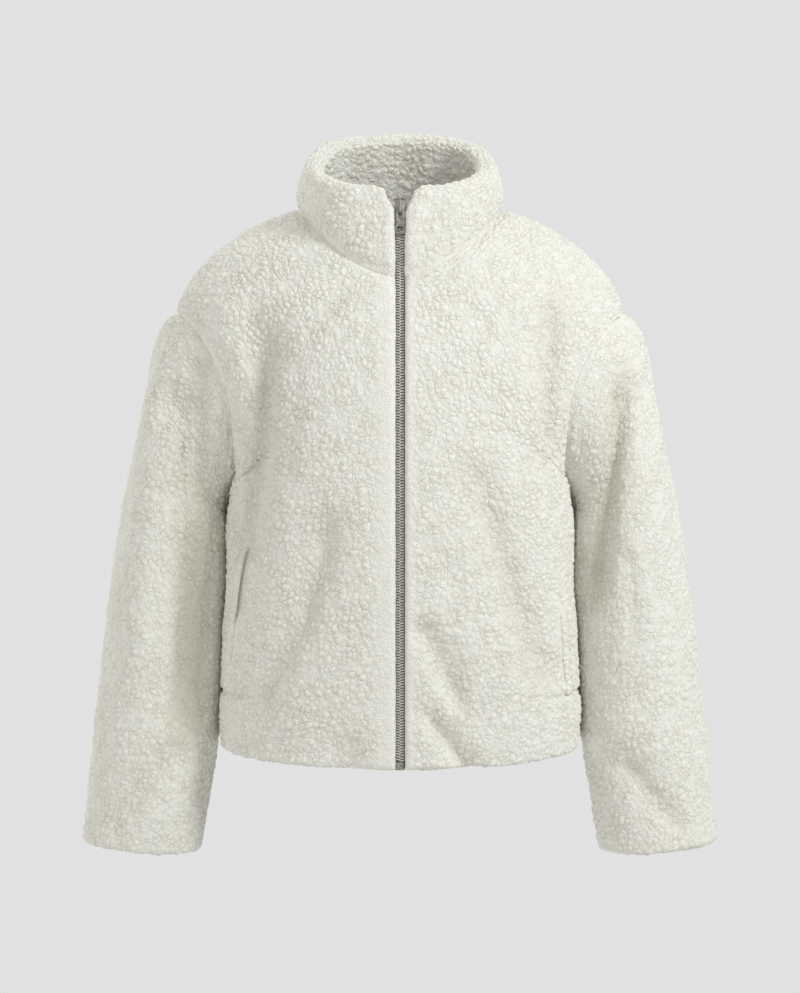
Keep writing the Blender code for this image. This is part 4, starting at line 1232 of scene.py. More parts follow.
@dataclass(frozen=True)
class Welt:
    """A pocket's welt, a narrow band on one front beside the pocket's slit.

    Attributes:
        side: The front that it lies on.
        low: Row share and column share of its lower end, columns counted from the zip.
        high: The same for its upper end.
        tail: Length of the short slit across its lower end, which runs towards the side.
        half: Half its width.
        thickness: Its thickness.
        rim: Reach of its rounded edges.
        rim_height: Share of its thickness that its edges keep.
        off: Gap between it and the front.
        slit_half: Half the slit's width.
        slit_depth: How far the front sinks in it.
        bare_reach: How far round the welt the pile is bare.
        rows: Steps along it.
        columns: Steps across it.
        tail_steps: Steps along the slit's tail.
        pile_share: How much of the pile's relief it gets.
        name: What its node is called before its side.
    """

    side: Side
    low: tuple[float, float]
    high: tuple[float, float]
    tail: float = 0.0
    half: float = 0.0055
    thickness: float = 0.0020
    rim: float = 0.0045
    rim_height: float = 0.10
    off: float = 0.0002
    slit_half: float = 0.0016
    slit_depth: float = 0.0032
    bare_reach: float = 0.003
    rows: int = 110
    columns: int = 12
    tail_steps: int = 8
    pile_share: float = 0.85
    name: str = "pocket_welt"

    def on_panel(self, grid: np.ndarray, row_share: np.ndarray, column_share: np.ndarray) -> np.ndarray:
        """Points of a dense grid at shares of its rows and of its columns from the zip."""
        rows, columns = grid.shape[0] - 1, grid.shape[1] - 1
        row = np.clip(row_share * rows, 0, rows - 1e-6)
        across = column_share if self.side is Side.LEFT else 1 - column_share
        column = np.clip(across * columns, 0, columns - 1e-6)
        r, c = row.astype(int), column.astype(int)
        t, s = (row - r)[..., None], (column - c)[..., None]
        below = grid[r, c] * (1 - s) + grid[r, c + 1] * s
        above = grid[r + 1, c] * (1 - s) + grid[r + 1, c + 1] * s
        return below * (1 - t) + above * t

    def shares(self, aside: float, grid: np.ndarray) -> tuple[np.ndarray, np.ndarray]:
        """Row and column shares of a line beside the welt's middle.

        Args:
            aside: How far towards the side of the jacket, in metres.
            grid: The panel's dense grid.

        Returns:
            The shares.
        """
        share = np.linspace(0.0, 1.0, self.rows + 1)
        row = self.low[0] + (self.high[0] - self.low[0]) * share
        column = self.low[1] + (self.high[1] - self.low[1]) * share
        near = 0.01
        step = self.on_panel(grid, row, column + near) - self.on_panel(grid, row, column - near)
        return row, column + aside * 2 * near / np.linalg.norm(step, axis=-1)

    def press(self, outer: np.ndarray) -> tuple[np.ndarray, np.ndarray]:
        """How far the slit sinks each point of the panel, and how bare the pile is round the welt.

        Args:
            outer: The panel's dense outer side.

        Returns:
            Depths in metres, and shares of bare pile from 0 to 1.
        """
        middle = self.on_panel(outer, *self.shares(0.0, outer))
        slit = self.on_panel(outer, *self.shares(self.half + self.slit_half, outer))
        if self.tail:
            away = self.on_panel(outer, *self.shares(self.half + self.tail, outer))[0]
            share = np.linspace(1, 0, self.tail_steps + 1)[:-1, None]
            slit = np.vstack([slit[0] + (away - slit[0]) * share, slit])
        near = np.abs(outer[..., 2] - middle[:, 2].mean()) < np.ptp(middle[:, 2])
        near &= np.sign(outer[..., 0]) == self.side.value
        depth, bare = np.zeros(outer.shape[:2]), np.zeros(outer.shape[:2])
        points = outer[near]
        to_slit, to_middle = (
            np.min(np.linalg.norm(points[:, None] - line[None], axis=-1), axis=1) for line in (slit, middle)
        )
        depth[near] = self.slit_depth * np.exp(-((to_slit / self.slit_half) ** 2))
        bare[near] = 1 - smooth((to_middle - self.half) / self.bare_reach)
        return depth, bare

    def build(
        self, piece: "ClothPiece", cut: JacketCut, pile: PileModifier, material: bpy.types.Material
    ) -> None:
        """Args:
            piece: The front that it lies on.
            cut: The jacket's cut.
            pile: The modifier that raises the nubs.
            material: The pile.
        """
        outer = piece.dense(cut.panels[piece.name], cut.panels[piece.name].outer)
        normals = grid_normals(outer)
        across = np.linspace(-self.half, self.half, self.columns + 1)
        lines = [self.shares(x, outer) for x in (across if self.side is Side.LEFT else across[::-1])]
        base = np.stack([self.on_panel(outer, *line) for line in lines], axis=1)
        ways = unit(np.stack([self.on_panel(normals, *line) for line in lines], axis=1))
        ends = np.minimum(distance_from(base, 0, 0), distance_from(base, 0, -1))
        sides = np.minimum(distance_from(base, 1, 0), distance_from(base, 1, -1))
        rim = np.clip(1 - np.minimum(ends, sides) / self.rim, 0.0, 1.0)
        crown = self.rim_height + (1 - self.rim_height) * np.sqrt(1 - rim**2)
        inner = base + ways * self.off
        draft = MeshDraft()
        raised = inner + ways * (self.thickness * crown)[..., None]
        # The band's pile gets the same painted fold shade as the front under it.
        outside = draft.add_points(raised, self.pile_share, piece.tucked(cut, base, False))
        inside = draft.add_points(inner, 0.0)
        draft.add_grid(outside, Face.PILE)
        draft.add_grid(inside, Face.PILE, flip=True)
        loop = [np.concatenate([g[0], g[1:, -1], g[-1, -2::-1], g[-2:0:-1, 0]]) for g in (inside, outside)]
        draft.add_grid(np.stack(loop), Face.PILE, closed=True)
        band = draft.to_object(f"{self.name}_{self.side.word}_cloth", [material])
        pile.raise_on(band)
        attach(band, "jacket")
        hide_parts(f"{self.name}_{self.side.word}")


@dataclass
class ClothPiece:
    """A sewn piece dressed as a thin shell with pile outside and knit inside.

    Attributes:
        name: Its node.
        pattern: The panels that it is made of.
        borders: Their borders.
        flat: Width and length of its flat cut; not used.
        area: Its flat area; not used.
        row_factor: Rows outside for each row of the cut.
        column_factor: Columns outside for each column of the cut.
        inner_row_factor: Rows inside for each row of the cut.
        inner_column_factor: Columns inside for each column of the cut.
        edge_round: How far in a free edge is rounded.
        edge_drop: Share of the thickness that its rounding takes off.
        zip_bare: How bare the pile is along the zip.
        smooth_edge: Over what width it is.
        smooth_from: Where in that width the pile starts to grow.
        edge_lean: How far the zip edge leans towards the zip.
        groove_depth: How far the cloth sinks at a seam.
        groove_reach: Half width of that.
        seam_bare: How bare the pile is at a seam.
        groove_bare: Over what width it is.
        underarm_fullness: How far the cloth bulges below the underarm.
        underarm_reach: Reach of that bulge.
        underarm_drop: How far below the underarm its middle lies.
        underarm_shape: Its tightness across, front to back and in height.
        fine_fade: Length over which the finer creases end.
        fine_facing: How soon they start on cloth that turns to their side.
        tuck_depth: Depth of fold at which the pile has its full painted shade.
        tuck_fade: Length past a fold's end over which the painted shade fades.
        tuck_power: How much the painted shade keeps to the deep of a fold.
        welts: The pocket welts on it.
    """

    name: str
    pattern: Sequence[str]
    borders: Sequence[Sequence[Border]]
    flat: tuple[float, float]
    area: float
    row_factor: int
    column_factor: int
    inner_row_factor: int
    inner_column_factor: int
    edge_round: float = 0.0055
    edge_drop: float = 0.55
    zip_bare: float = 0.75
    smooth_edge: float = 0.010
    smooth_from: float = 0.2
    edge_lean: float = 0.0
    groove_depth: float = 0.0024
    groove_reach: float = 0.0042
    seam_bare: float = 0.50
    groove_bare: float = 0.006
    underarm_fullness: float = 0.0058
    underarm_reach: float = 0.032
    underarm_drop: float = 0.026
    underarm_shape: tuple[float, float, float] = (0.4, 0.5, 1.0)
    fine_fade: float = 0.020
    fine_facing: float = 2.5
    tuck_depth: float = 0.012
    tuck_fade: float = 0.055
    tuck_power: float = 1.5
    welts: Sequence[Welt] = ()

    @property
    def owner(self) -> str:
        """What the folds call it, the body or a sleeve."""
        return "sleeve" if self.name.startswith("sleeve") else "body"

    def outer_side(
        self, cut: JacketCut, panel: Panel, borders: Sequence[Border]
    ) -> tuple[np.ndarray, np.ndarray]:
        """The dense outer side of a panel, rounded at free edges and sunk along its seams.

        Args:
            cut: The jacket's cut.
            panel: The panel's grids.
            borders: Its borders.

        Returns:
            The points, and how much pile each one gets.
        """
        inner, outer = (self.dense(panel, grid) for grid in (panel.inner, panel.outer))
        through = outer - inner
        height = 1 + self.creases(cut, outer, panel.closed) / np.linalg.norm(through, axis=-1)
        pile = np.ones(outer.shape[:2])
        lean = np.zeros(outer.shape[:2])
        for border in borders:
            away = distance_from(outer, border.axis, border.end)
            weight = border.weight(len(outer), self.row_factor)
            if border.free:
                left = np.clip(1 - away / self.edge_round, 0.0, 1.0)
                low = self.edge_drop * (1 - np.sqrt(1 - left**2))
                height *= 1 - low * weight
                bare = 0.0
                if border.axis:
                    bare = self.zip_bare * (1 - smooth(away / self.smooth_edge - self.smooth_from))
                    lean = self.edge_lean * weight * (1 - smooth(away / self.edge_round))
            else:
                height -= weight * self.groove_depth / cut.cloth * np.exp(-((away / self.groove_reach) ** 2))
                bare = self.seam_bare * (1 - smooth(away / self.groove_bare))
            pile = np.minimum(pile, 1 - bare * weight)
        for welt in self.welts:
            depth, bare = welt.press(outer)
            height -= depth / cut.cloth
            pile *= 1 - bare
        points = inner + through * height[..., None]
        points[..., 0] -= np.sign(points[..., 0]) * lean
        return points, pile

    def tucked(self, cut: JacketCut, outer: np.ndarray, closed: bool) -> np.ndarray:
        """How much shade is painted into the pile's colour at each point, from 0 to 1, by how deep in the
        main folds it lies.

        Args:
            cut: The jacket's cut.
            outer: The panel's dense outer side.
            closed: Whether the panel runs round.

        Returns:
            One share for each point.
        """
        normals = grid_normals(outer, closed)
        found = [
            fold.tint * fold.heights(outer, normals, self.tuck_fade, cut.fold_facing)
            for fold in (*cut.folds, *FINE_CREASES)
            if fold.piece == self.owner
        ]
        return np.clip(-np.min(found, axis=0) / self.tuck_depth, 0.0, 1.0) ** self.tuck_power

    def creases(self, cut: JacketCut, outer: np.ndarray, closed: bool) -> np.ndarray:
        """Height of the finer creases, the hem's fullness and its stitched line at each point.

        Args:
            cut: The jacket's cut.
            outer: The panel's dense outer side.
            closed: Whether the panel runs round.

        Returns:
            One height for each point.
        """
        below_arm = np.array(cut.side_seam[-1][:3]) - (0.0, 0.0, self.underarm_drop)
        away = (np.abs(outer) * (1, 0, 0) + outer * (0, 1, 1) - below_arm) * self.underarm_shape
        near = np.exp(-((np.linalg.norm(away, axis=-1) / self.underarm_reach) ** 2))
        normals = grid_normals(outer, closed)
        found = [
            fold.heights(outer, normals, self.fine_fade, self.fine_facing)
            for fold in FINE_CREASES
            if fold.piece == self.owner
        ]
        heights = np.maximum(np.max(found, axis=0), 0.0) + np.minimum(np.min(found, axis=0), 0.0)
        heights += self.underarm_fullness * near
        if self.owner == "body":
            above = outer[..., 2] - HEM_LINE_Z
            at_sides = smooth((np.abs(outer[..., 0]) - HEM_LINE_FROM) / HEM_LINE_FADE)
            full = HEM_SWELL_MIDDLE + (1 - HEM_SWELL_MIDDLE) * at_sides
            heights -= HEM_LINE_DEPTH * np.exp(-((above / HEM_LINE_HALF) ** 2)) * at_sides
            heights += HEM_SWELL * np.exp(-(((above + HEM_SWELL_BELOW) / HEM_SWELL_HALF) ** 2)) * full
        return heights

    def dense(self, panel: Panel, grid: np.ndarray) -> np.ndarray:
        """A grid of the panel at the density of the outer side."""
        return panel.dense(grid, self.row_factor, self.column_factor)

    def build(self, cut: JacketCut, pile: PileModifier, materials: Sequence[bpy.types.Material]) -> None:
        """Args:
            cut: The jacket's cut.
            pile: The modifier that raises the nubs.
            materials: Pile and knit.
        """
        draft = MeshDraft()
        for pattern, borders in zip(self.pattern, self.borders):
            panel = cut.panels[pattern]
            points, share = self.outer_side(cut, panel, borders)
            inner = panel.dense(panel.inner, self.inner_row_factor, self.inner_column_factor)
            # The outer points carry the shade painted into the pile's colour in the folds.
            outside = draft.add_points(points, share, self.tucked(cut, points, panel.closed))
            inside = draft.add_points(inner, 0.0)
            draft.add_grid(outside, Face.PILE, panel.closed)
            draft.add_grid(inside, Face.KNIT, panel.closed, flip=True)
            self.close_rims(draft, outside, inside, borders, panel.closed)
        piece = draft.to_object(f"{self.name}_cloth", materials)
        if len(self.pattern) > 1:
            self.weld(piece)
        pile.raise_on(piece)
        declare_cloth(piece, self.name)

    def close_rims(
        self,
        draft: MeshDraft,
        outside: np.ndarray,
        inside: np.ndarray,
        borders: Sequence[Border],
        closed: bool,
    ) -> None:
        """Close the shell along its borders.

        Args:
            draft: The mesh draft.
            outside: Indices of the outer side.
            inside: Indices of the inner side.
            borders: The borders that aren't shared with another patch of the same piece.
            closed: Whether the columns run round.
        """
        for border in borders:
            many = border.indices(outside, self.row_factor)
            few = border.indices(inside, self.inner_row_factor)
            if closed:
                many, few = np.append(many, many[0]), np.append(few, few[0])
            if (border.axis == 0) == (border.end == 0):
                many, few = many[::-1], few[::-1]
            draft.bridge(many[::-1], few[::-1], Face.PILE)

    @staticmethod
    def weld(piece: bpy.types.Object) -> None:
        """Merge the points that two patches of a piece share."""
        modifier = piece.modifiers.new("weld", "WELD")
        modifier.merge_threshold = 1e-5
        apply_modifiers(piece)


def declare_cloth(piece: bpy.types.Object, node: str) -> None:
    """Attach a finished cloth piece to the jacket, hide the solid that it stands for and log its triangles.

    Args:
        piece: The finished piece.
        node: The solid's node.
    """
    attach(piece, "jacket")
    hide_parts(node)
    log.info("%s: %d triangles", piece.name, triangle_count(piece))


@dataclass
class CollarPiece:
    """The stand collar, sherpa on both sides and over its rolled top.

    Attributes:
        row_factor: Rows for each row of the cut.
        column_factor: Columns for each column of the cut.
        end_round: How far in its two front ends are rounded.
        end_width: Share of its thickness at the ends.
        end_lean: How far the ends lean towards the zip.
        end_pile: Share of the pile at the ends.
        end_grow: Length over which it grows to the whole.
        groove_depth: How far it sinks at the neck seam.
        groove_reach: Half width of that.
        seam_pile: Share of the pile at the seams.
        seam_grow: Length over which it grows to the whole.
        notch_reach: How far from the ends they part at the top.
        notch_from: Height at which they start to part.
        notch_height: Height over which they do.
        notch_half: How far each end moves aside.
        notch_drop: How far its top corner drops.
        flat: Length and height of its flat cut; not used.
        area: Its flat area; not used.
    """

    row_factor: int = 8
    column_factor: int = 16
    end_round: float = 0.009
    end_width: float = 0.12
    end_lean: float = 0.0008
    end_pile: float = 0.5
    end_grow: float = 0.010
    groove_depth: float = 0.0022
    groove_reach: float = 0.006
    seam_pile: float = 0.3
    seam_grow: float = 0.007
    notch_reach: float = 0.024
    notch_from: float = 0.0
    notch_height: float = 0.024
    notch_half: float = 0.009
    notch_drop: float = 0.004
    flat: tuple[float, float] = (0.48, 0.10)
    area: float = 0.042

    def build(self, cut: JacketCut, pile: PileModifier, materials: Sequence[bpy.types.Material]) -> None:
        """Args:
            cut: The jacket's cut.
            pile: The modifier that raises the nubs.
            materials: Pile and knit.
        """
        grid = densify(densify(cut.panels["collar"].outer, self.row_factor, 0), self.column_factor, 1)
        middle = (grid + grid[::-1]) / 2
        ends = np.minimum(distance_from(grid, 1, 0), distance_from(grid, 1, -1))
        outer_seam, inner_seam = distance_from(grid, 0, 0), distance_from(grid, 0, -1)
        seams = np.minimum(outer_seam, inner_seam)
        left = np.clip(1 - ends / self.end_round, 0.0, 1.0)
        wide = self.end_width + (1 - self.end_width) * np.sqrt(1 - left**2)
        wide = wide - 2 * self.groove_depth / cut.cloth * np.exp(-((outer_seam / self.groove_reach) ** 2))
        points = middle + (grid - middle) * wide[..., None]
        points[..., 0] -= np.sign(points[..., 0]) * self.end_lean * (1 - smooth(ends / self.end_round))
        up = smooth((points[..., 2] - self.notch_from) / self.notch_height)
        apart = (1 - np.clip(ends / self.notch_reach, 0.0, 1.0)) ** 2 * up
        points[..., 0] += np.sign(points[..., 0]) * self.notch_half * apart
        points[..., 2] -= self.notch_drop * apart
        points[0] += points[0] - points[1]
        by_ends = self.end_pile + (1 - self.end_pile) * smooth(ends / self.end_grow)
        by_seams = self.seam_pile + (1 - self.seam_pile) * smooth(seams / self.seam_grow)
        draft = MeshDraft()
        index = draft.add_points(points, np.minimum(by_ends, by_seams))
        draft.add_grid(index, Face.PILE)
        half = (len(index) - 1) // 2
        for column, flip in ((0, True), (-1, False)):
            strip = np.stack([index[: half + 1, column], index[::-1, column][: half + 1]], axis=1)
            draft.add_grid(strip[:-1], Face.PILE, flip=flip)
            tip = (strip[half - 1, 0], index[half, column], strip[half - 1, 1])
            draft.add_faces(np.array([tip if flip else tip[::-1]]), Face.PILE)
        draft.add_grid(np.stack([index[-1], index[0]]), Face.PILE)
        piece = draft.to_object("collar_cloth", materials)
        pile.raise_on(piece)
        declare_cloth(piece, "collar")


@dataclass
class ZipLine:
    """The zip's line in the centre plane: its points, the way out of the cloth and the way up there."""

    points: np.ndarray
    ways: np.ndarray

    @classmethod
    def of(cls, cut: JacketCut) -> "ZipLine":
        """The line along the front's edge and on up the collar's end."""
        rows = cut.side_rows + cut.arm_rows - cut.front_neck_rows + 1
        edge, top = cut.panels["front_left"].inner[:rows, 0], np.array(cut.collar_top[0][1:])
        rise = top - edge[-1]
        points = np.vstack([edge, top]) * (0.0, 1.0, 1.0)
        last_way = unit(np.array([0.0, -rise[2], rise[1]]))
        return cls(points, np.vstack([cut.normals["front_left"][:rows, 0], last_way]))

    def at(self, heights: np.ndarray) -> tuple[np.ndarray, np.ndarray, np.ndarray]:
        """Points, outward ways and upward ways at some heights."""
        along = self.points[:, 2]
        points, ways = (
            np.column_stack([np.interp(heights, along, column) for column in table.T])
            for table in (self.points, self.ways)
        )
        ways = unit(ways * (0.0, 1.0, 1.0))
        return points, ways, np.cross(ways, np.array([1.0, 0.0, 0.0])) * np.sign(-ways[:, 1:2])


@dataclass(frozen=True)
class ZipTeeth:
    """Two rows of interlocked metal teeth, set by Geometry Nodes along the zip's line."""

    pitch: float = 0.0026
    row_reach: float = 0.0037
    neck_reach: float = 0.0012
    tip_reach: float = -0.0008
    half_height: float = 0.00082
    neck_share: float = 0.92
    tip_share: float = 0.55
    back: float = -0.0008
    front: float = 0.0023
    bevel: float = 0.00028
    bevel_rise: float = 0.6
    tilt: float = 16.0
    fine_steps: int = 2000

    def tooth(self, side: Side) -> bpy.types.Object:
        """One tooth: x across the zip, z up it and -y out of the cloth."""
        plan = [
            (self.row_reach, -1.0),
            (self.row_reach, 1.0),
            (self.neck_reach, self.neck_share),
            (self.tip_reach, self.tip_share),
            (self.tip_reach, -self.tip_share),
            (self.neck_reach, -self.neck_share),
        ]
        middle = self.row_reach / 2
        sine, cosine = math.sin(math.radians(self.tilt)), math.cos(math.radians(self.tilt))
        rings = []
        for depth, inset in ((self.back, 0.0), (self.front - self.bevel, 0.0), (self.front, self.bevel)):
            ring = []
            for x, share in plan:
                up = share * (self.half_height - inset * self.bevel_rise)
                out = (x - middle) * (1 - inset / middle)
                across = middle + out * cosine - up * sine
                ring.append((side.value * across, -depth, out * sine + up * cosine))
            rings.append(ring if side is Side.LEFT else ring[::-1])
        draft = MeshDraft()
        index = draft.add_points(np.array(rings), 0.0)
        draft.add_grid(index, Face.PILE, closed=True)
        for ring, flip in ((index[0], True), (index[-1], False)):
            quads = np.array([(ring[0], ring[1], ring[2], ring[5]), (ring[5], ring[2], ring[3], ring[4])])
            draft.add_faces(quads[:, ::-1] if flip else quads, Face.PILE)
        piece = draft.to_object(f"tooth_{side.word}", [])
        piece.data.shade_flat()
        return piece

    def tree(self) -> tuple[bpy.types.NodeTree, dict[str, str]]:
        """The node tree that sets a tooth on each point, and the identifiers of its inputs."""
        tree = bpy.data.node_groups.new("zip teeth", "GeometryNodeTree")
        face = tree.interface
        face.new_socket("Points", in_out="INPUT", socket_type="NodeSocketGeometry")
        tooth = face.new_socket("Tooth", in_out="INPUT", socket_type="NodeSocketObject")
        metal = face.new_socket("Metal", in_out="INPUT", socket_type="NodeSocketMaterial")
        face.new_socket("Teeth", in_out="OUTPUT", socket_type="NodeSocketGeometry")
        wires = Wiring(tree)
        given = wires.add("NodeGroupInput")
        ways = [
            wires.add("GeometryNodeInputNamedAttribute", {"Name": name}, data_type="FLOAT_VECTOR").outputs[0]
            for name in ("up", "back")
        ]
        turn = wires.add(
            "FunctionNodeAxesToRotation", {0: ways[0], 1: ways[1]}, primary_axis="Z", secondary_axis="Y"
        )
        source = wires.add("GeometryNodeObjectInfo", {"Object": given.outputs["Tooth"]})
        placed = wires.add(
            "GeometryNodeInstanceOnPoints",
            {
                "Points": given.outputs["Points"],
                "Instance": source.outputs["Geometry"],
                "Rotation": turn.outputs[0],
            },
        )
        real = wires.add("GeometryNodeRealizeInstances", {"Geometry": placed.outputs[0]})
        painted = wires.add(
            "GeometryNodeSetMaterial", {"Geometry": real.outputs[0], "Material": given.outputs["Metal"]}
        )
        made = wires.add("NodeGroupOutput")
        tree.links.new(painted.outputs[0], made.inputs[0])
        return tree, {"Tooth": tooth.identifier, "Metal": metal.identifier}

    def build(self, line: ZipLine, metal: bpy.types.Material) -> None:
        """Args:
            line: The zip's line.
            metal: The teeth's material.
        """
        tree, sockets = self.tree()
        low, high = (corner[2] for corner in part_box("zip_chain"))
        fine = np.linspace(low, high, self.fine_steps)
        steps = np.linalg.norm(np.diff(line.at(fine)[0], axis=0), axis=1)
        length = np.concatenate([[0.0], np.cumsum(steps)])
        for side in Side:
            first = self.pitch * (0.5 if side is Side.LEFT else 1.0)
            heights = np.interp(np.arange(first, length[-1] - self.pitch / 4, self.pitch), length, fine)
            points, ways, ups = line.at(heights)
            mesh = bpy.data.meshes.new(f"teeth_{side.word}")
            mesh.from_pydata([tuple(point) for point in points], [], [])
            for name, vectors in (("up", ups), ("back", -ways)):
                values = mesh.attributes.new(name, "FLOAT_VECTOR", "POINT")
                values.data.foreach_set("vector", vectors.astype(np.float32).ravel())
            row = bpy.data.objects.new(f"teeth_{side.word}", mesh)
            bpy.context.scene.collection.objects.link(row)
            tooth = self.tooth(side)
            modifier = row.modifiers.new("teeth", "NODES")
            modifier.node_group = tree
            modifier[sockets["Tooth"]] = tooth
            modifier[sockets["Metal"]] = metal
            apply_modifiers(row)
            bpy.data.objects.remove(tooth, do_unlink=True)
            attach(row, "jacket")
            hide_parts("zip_chain")
            log.info("%s: %d triangles", row.name, triangle_count(row))


@dataclass(frozen=True)
class Hardware:
    """A metal solid of the zip with its edges rounded, and with two wings at its top if they are sized."""

    node: str
    body: str
    bevel: float = 0.00028
    bevel_segments: int = 2
    sharp: float = 25.0
    flat: float = 2.0
    merge: float = 1e-6
    wing: tuple[float, float] | None = None
    wing_out: float = 0.0048
    wing_down: float = 0.0015
    wing_back: float = 0.7
    wing_depth: float = 0.5
    wing_tilt: float = 32.0

    def add_wings(self, mesh: bpy.types.Mesh) -> None:
        """Add the two sloping wings, each of the given length and height, at the mesh's top."""
        low, high = (np.array(corner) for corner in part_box(self.node))
        shape = bmesh.new()
        shape.from_mesh(mesh)
        back = low[1] + self.wing_back * (high[1] - low[1])
        for side in Side:
            place = Matrix.Translation((side.value * self.wing_out, back, high[2] - self.wing_down))
            turn = Matrix.Rotation(side.value * math.radians(self.wing_tilt), 4, "Y")
            size = Matrix.Diagonal((self.wing[0], self.wing_depth * (high[1] - low[1]), self.wing[1], 1.0))
            bmesh.ops.create_cube(shape, size=1.0, matrix=place @ turn @ size)
        shape.to_mesh(mesh)
        shape.free()

    def build(self, metal: bpy.types.Material) -> None:
        """Args:
            metal: Its material.
        """
        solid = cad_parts[self.node]
        mesh = solid.data.copy()
        mesh.transform(solid.matrix_world)
        if self.wing:
            self.add_wings(mesh)
        mesh.materials.clear()
        mesh.materials.append(metal)
        piece = bpy.data.objects.new(f"{self.node}_metal", mesh)
        bpy.context.scene.collection.objects.link(piece)
        weld = piece.modifiers.new("weld", "WELD")
        weld.merge_threshold = self.merge
        flat = piece.modifiers.new("flat faces", "DECIMATE")
        flat.decimate_type = "DISSOLVE"
        flat.angle_limit = math.radians(self.flat)
        rounded = piece.modifiers.new("rounded", "BEVEL")
        rounded.width, rounded.segments = self.bevel, self.bevel_segments
        rounded.limit_method, rounded.angle_limit = "ANGLE", math.radians(self.sharp)
        rounded.use_clamp_overlap = True
        apply_modifiers(piece)
        piece.data.shade_smooth()
        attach(piece, self.body)
        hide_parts(self.node)


@dataclass(frozen=True)
class Lamp:
    """A square area light: where it stands, its side in metres, its power in watts and its colour."""

    name: str
    place: tuple[float, float, float]
    size: float
    power: float
    colour: tuple[float, float, float]

    def build(self, target: Vector) -> None:
        """Add the light, turned towards a point."""
        data = bpy.data.lights.new(self.name, "AREA")
        data.energy, data.size, data.color = self.power, self.size, self.colour
        lamp = bpy.data.objects.new(self.name, data)
        lamp.location = self.place
        lamp.rotation_euler = (target - Vector(self.place)).to_track_quat("-Z", "Y").to_euler()
        bpy.context.scene.collection.objects.link(lamp)


@dataclass
class Studio:
    """Plain pale studio: a seamless floor, light from all round, two lights and the camera.

    Attributes:
        target: The point that the camera and the lights face.
        elevation: Angle in degrees from which the camera looks down.
        distance: From the camera to the target.
        sensor: Width of the camera's sensor in millimetres.
        focal_pixels: Focal length in pixels of the photograph.
        picture_pixels: Length of the photograph's longer side in pixels.
        floor_z: Height of the floor.
        backdrop: Brightness of the floor and the wall.
        cove_radius: Radius of the wall.
        cove_fillet: Radius of the bend between floor and wall.
        cove_height: Height of the wall.
        cove_steps: Steps in the bend.
        round_steps: Steps round the floor.
        ambient: Strength of the light from all round.
        slope: How much stronger it is from the bright way than from across it.
        bright_way: The way from which it is strongest: the picture's left, behind and below.
        ambient_colour: Its colour.
        lamps: A key light from the picture's right, and one behind.
    """

    target: tuple = (0.0, 0.0, -0.27)
    elevation: float = 5.0
    distance: float = 2.8
    sensor: float = 36.0
    focal_pixels: float = 2917.0
    picture_pixels: float = 993.0
    floor_z: float = -1.15
    backdrop: float = 0.755
    cove_radius: float = 9.0
    cove_fillet: float = 3.0
    cove_height: float = 9.0
    cove_steps: int = 12
    round_steps: int = 64
    ambient: float = 0.76
    slope: float = 0.24
    bright_way: tuple = (-0.85, 0.40, -0.35)
    ambient_colour: tuple = (1.0, 0.99, 0.95)
    lamps: Sequence[Lamp] = (
        Lamp("key", (2.14, -1.80, 1.48), 0.8, 56.0, (0.99, 1.0, 1.0)),
        Lamp("back", (-1.30, 2.60, 1.60), 1.2, 30.0, (1.0, 1.0, 0.99)),
    )

    def build(self) -> None:
        """Build the floor, the lights and the camera."""
        self.floor()
        self.lights()
        self.camera()
        bpy.context.scene.view_settings.view_transform = "Standard"

    def floor(self) -> None:
        """A round floor that curves up into a wall."""
        radius = self.cove_radius - self.cove_fillet
        profile = [
            (radius + self.cove_fillet * math.sin(a), self.floor_z + self.cove_fillet * (1 - math.cos(a)))
            for a in np.linspace(0.0, math.pi / 2, self.cove_steps + 1)
        ]
        profile.append((self.cove_radius, self.floor_z + self.cove_height))
        around = np.linspace(0.0, 2 * math.pi, self.round_steps + 1)[:-1]
        grid = np.array([[(r * math.cos(a), r * math.sin(a), z) for a in around] for r, z in profile])
        draft = MeshDraft()
        index = draft.add_points(grid, 0.0)
        centre = draft.add_points(np.array([[0.0, 0.0, self.floor_z]]), 0.0)[0]
        draft.add_grid(index, Face.PILE, closed=True)
        ring = index[0]
        fan = [(centre, after, at) for at, after in zip(ring, np.roll(ring, -1))]
        draft.add_faces(np.array(fan), Face.PILE)
        material, wires, shader = new_material("studio_grey")
        wires.feed(shader, {"Base Color": (0.0, 0.0, 0.0, 1), "Roughness": 1.0, "Specular IOR Level": 0.0})
        wires.feed(shader, {"Emission Color": (1.0, 1.0, 1.0, 1), "Emission Strength": self.backdrop})
        material.cycles.emission_sampling = "NONE"
        floor = draft.to_object("studio_floor", [material])
        floor.visible_diffuse = False

    def lights(self) -> None:
        """Light from all round, stronger from one way, and the lamps."""
        world = bpy.data.worlds.new("studio")
        world.use_nodes = True
        wires = Wiring(world.node_tree)
        way = wires.add("ShaderNodeTexCoord").outputs["Generated"]
        along = wires.add("ShaderNodeVectorMath", {0: way, 1: self.bright_way}, operation="DOT_PRODUCT")
        strength = wires.math("MULTIPLY_ADD", along.outputs["Value"], self.slope, self.ambient)
        sky = world.node_tree.nodes["Background"]
        wires.feed(sky, {"Strength": strength, "Color": (*self.ambient_colour, 1)})
        bpy.context.scene.world = world
        for lamp in self.lamps:
            lamp.build(Vector(self.target))

    def camera(self) -> None:
        """The camera, level with the jacket and a little above it."""
        data = bpy.data.cameras.new("camera")
        data.lens = self.sensor * self.focal_pixels / self.picture_pixels
        data.sensor_width = self.sensor
        camera = bpy.data.objects.new("camera", data)
        tilt = math.radians(self.elevation)
        away = Vector((0.0, -math.cos(tilt), math.sin(tilt)))
        camera.location = Vector(self.target) + away * self.distance
        camera.rotation_euler = (-away).to_track_quat("-Z", "Y").to_euler()
        bpy.context.scene.collection.objects.link(camera)
        bpy.context.scene.camera = camera


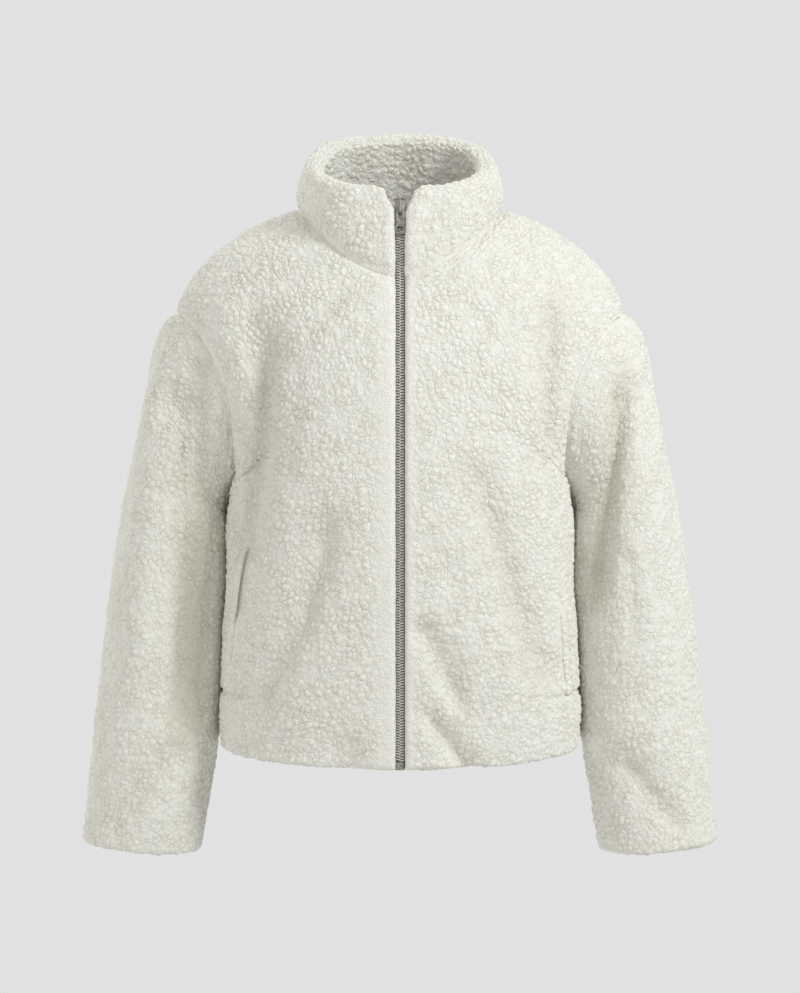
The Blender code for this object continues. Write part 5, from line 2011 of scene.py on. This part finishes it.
def cloth_pieces(cut: JacketCut) -> list[ClothPiece]:
    """The jacket's five panels with their borders, flat cuts and densities.

    Args:
        cut: The jacket's cut.

    Returns:
        The pieces.
    """
    rows = cut.side_rows + cut.arm_rows
    front_neck, back_neck = rows - cut.front_neck_rows, rows - cut.back_neck_rows
    ends = [Border(0, 0, free=True), Border(0, -1)]

    def front_borders(centre: int) -> list[Border]:
        """Borders of a front whose zip edge is its first or last column."""
        zip_edge = Border(1, centre, free=True, stop=front_neck)
        return ends + [zip_edge, Border(1, centre, start=front_neck), Border(1, -1 - centre)]

    front = {"flat": (0.34, 0.55), "area": 0.135, "row_factor": 15, "column_factor": 14}
    body = {"inner_row_factor": 3, "inner_column_factor": 2}
    sleeve = {"flat": (0.44, 0.56), "area": 0.190, "row_factor": 16, "column_factor": 10}
    tube = {"inner_row_factor": 2, "inner_column_factor": 2}
    back_borders = [ends + [Border(1, -1 - side, start=back_neck), Border(1, side)] for side in (0, -1)]
    back = {"flat": (0.60, 0.58), "area": 0.290, "row_factor": 12, "column_factor": 12}
    return [
        ClothPiece(
            "front_left",
            ["front_left"],
            [front_borders(0)],
            **front,
            **body,
            edge_lean=0.0005,
            welts=[Welt(Side.LEFT, low=(0.118, 0.685), high=(0.270, 0.650), tail=0.015)],
        ),
        ClothPiece(
            "front_right",
            ["front_right"],
            [front_borders(-1)],
            **front,
            **body,
            smooth_edge=0.022,
            edge_lean=0.0011,
            welts=[Welt(Side.RIGHT, low=(0.175, 0.705), high=(0.390, 0.635))],
        ),
        ClothPiece("back", ["back_left", "back_right"], back_borders, **back, **body),
        ClothPiece("sleeve_left", ["sleeve_left"], [ends], **sleeve, **tube),
        ClothPiece("sleeve_right", ["sleeve_right"], [ends], **sleeve, **tube),
    ]


TEETH_NICKEL = MetalFinish(
    name="teeth_nickel",
    colour=(0.72, 0.71, 0.67),
    dull_colour=(0.50, 0.49, 0.46),
    roughness=0.34,
)
ZIP_HARDWARE = (
    Hardware("zip_stop", "jacket"),
    Hardware("slider", "jacket", wing=(0.0038, 0.0015)),
    Hardware("pull_tab", "pull_tab"),
)


def main() -> None:
    """Dress the jacket and set up the studio."""
    logging.basicConfig(level=logging.INFO, format="%(name)s: %(message)s")
    form = PileForm()
    cut = JacketCut()
    cut.build()
    pile = PileModifier(form)
    sherpa, knit = SherpaFinish(form).material(), KnitBackFinish().material()
    tape, metal = TapeFinish().material(), MetalFinish().material()
    bright = TEETH_NICKEL.material()
    for piece in cloth_pieces(cut):
        piece.build(cut, pile, (sherpa, knit))
        for welt in piece.welts:
            welt.build(piece, cut, pile, sherpa)
    CollarPiece().build(cut, pile, (sherpa, knit))
    ZipTeeth().build(ZipLine.of(cut), bright)
    for part in ZIP_HARDWARE:
        part.build(metal)
    for node in ("zip_tape_left", "zip_tape_right"):
        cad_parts[node].material_slots[0].material = tape
    Studio().build()


if __name__ == "__main__":
    main()
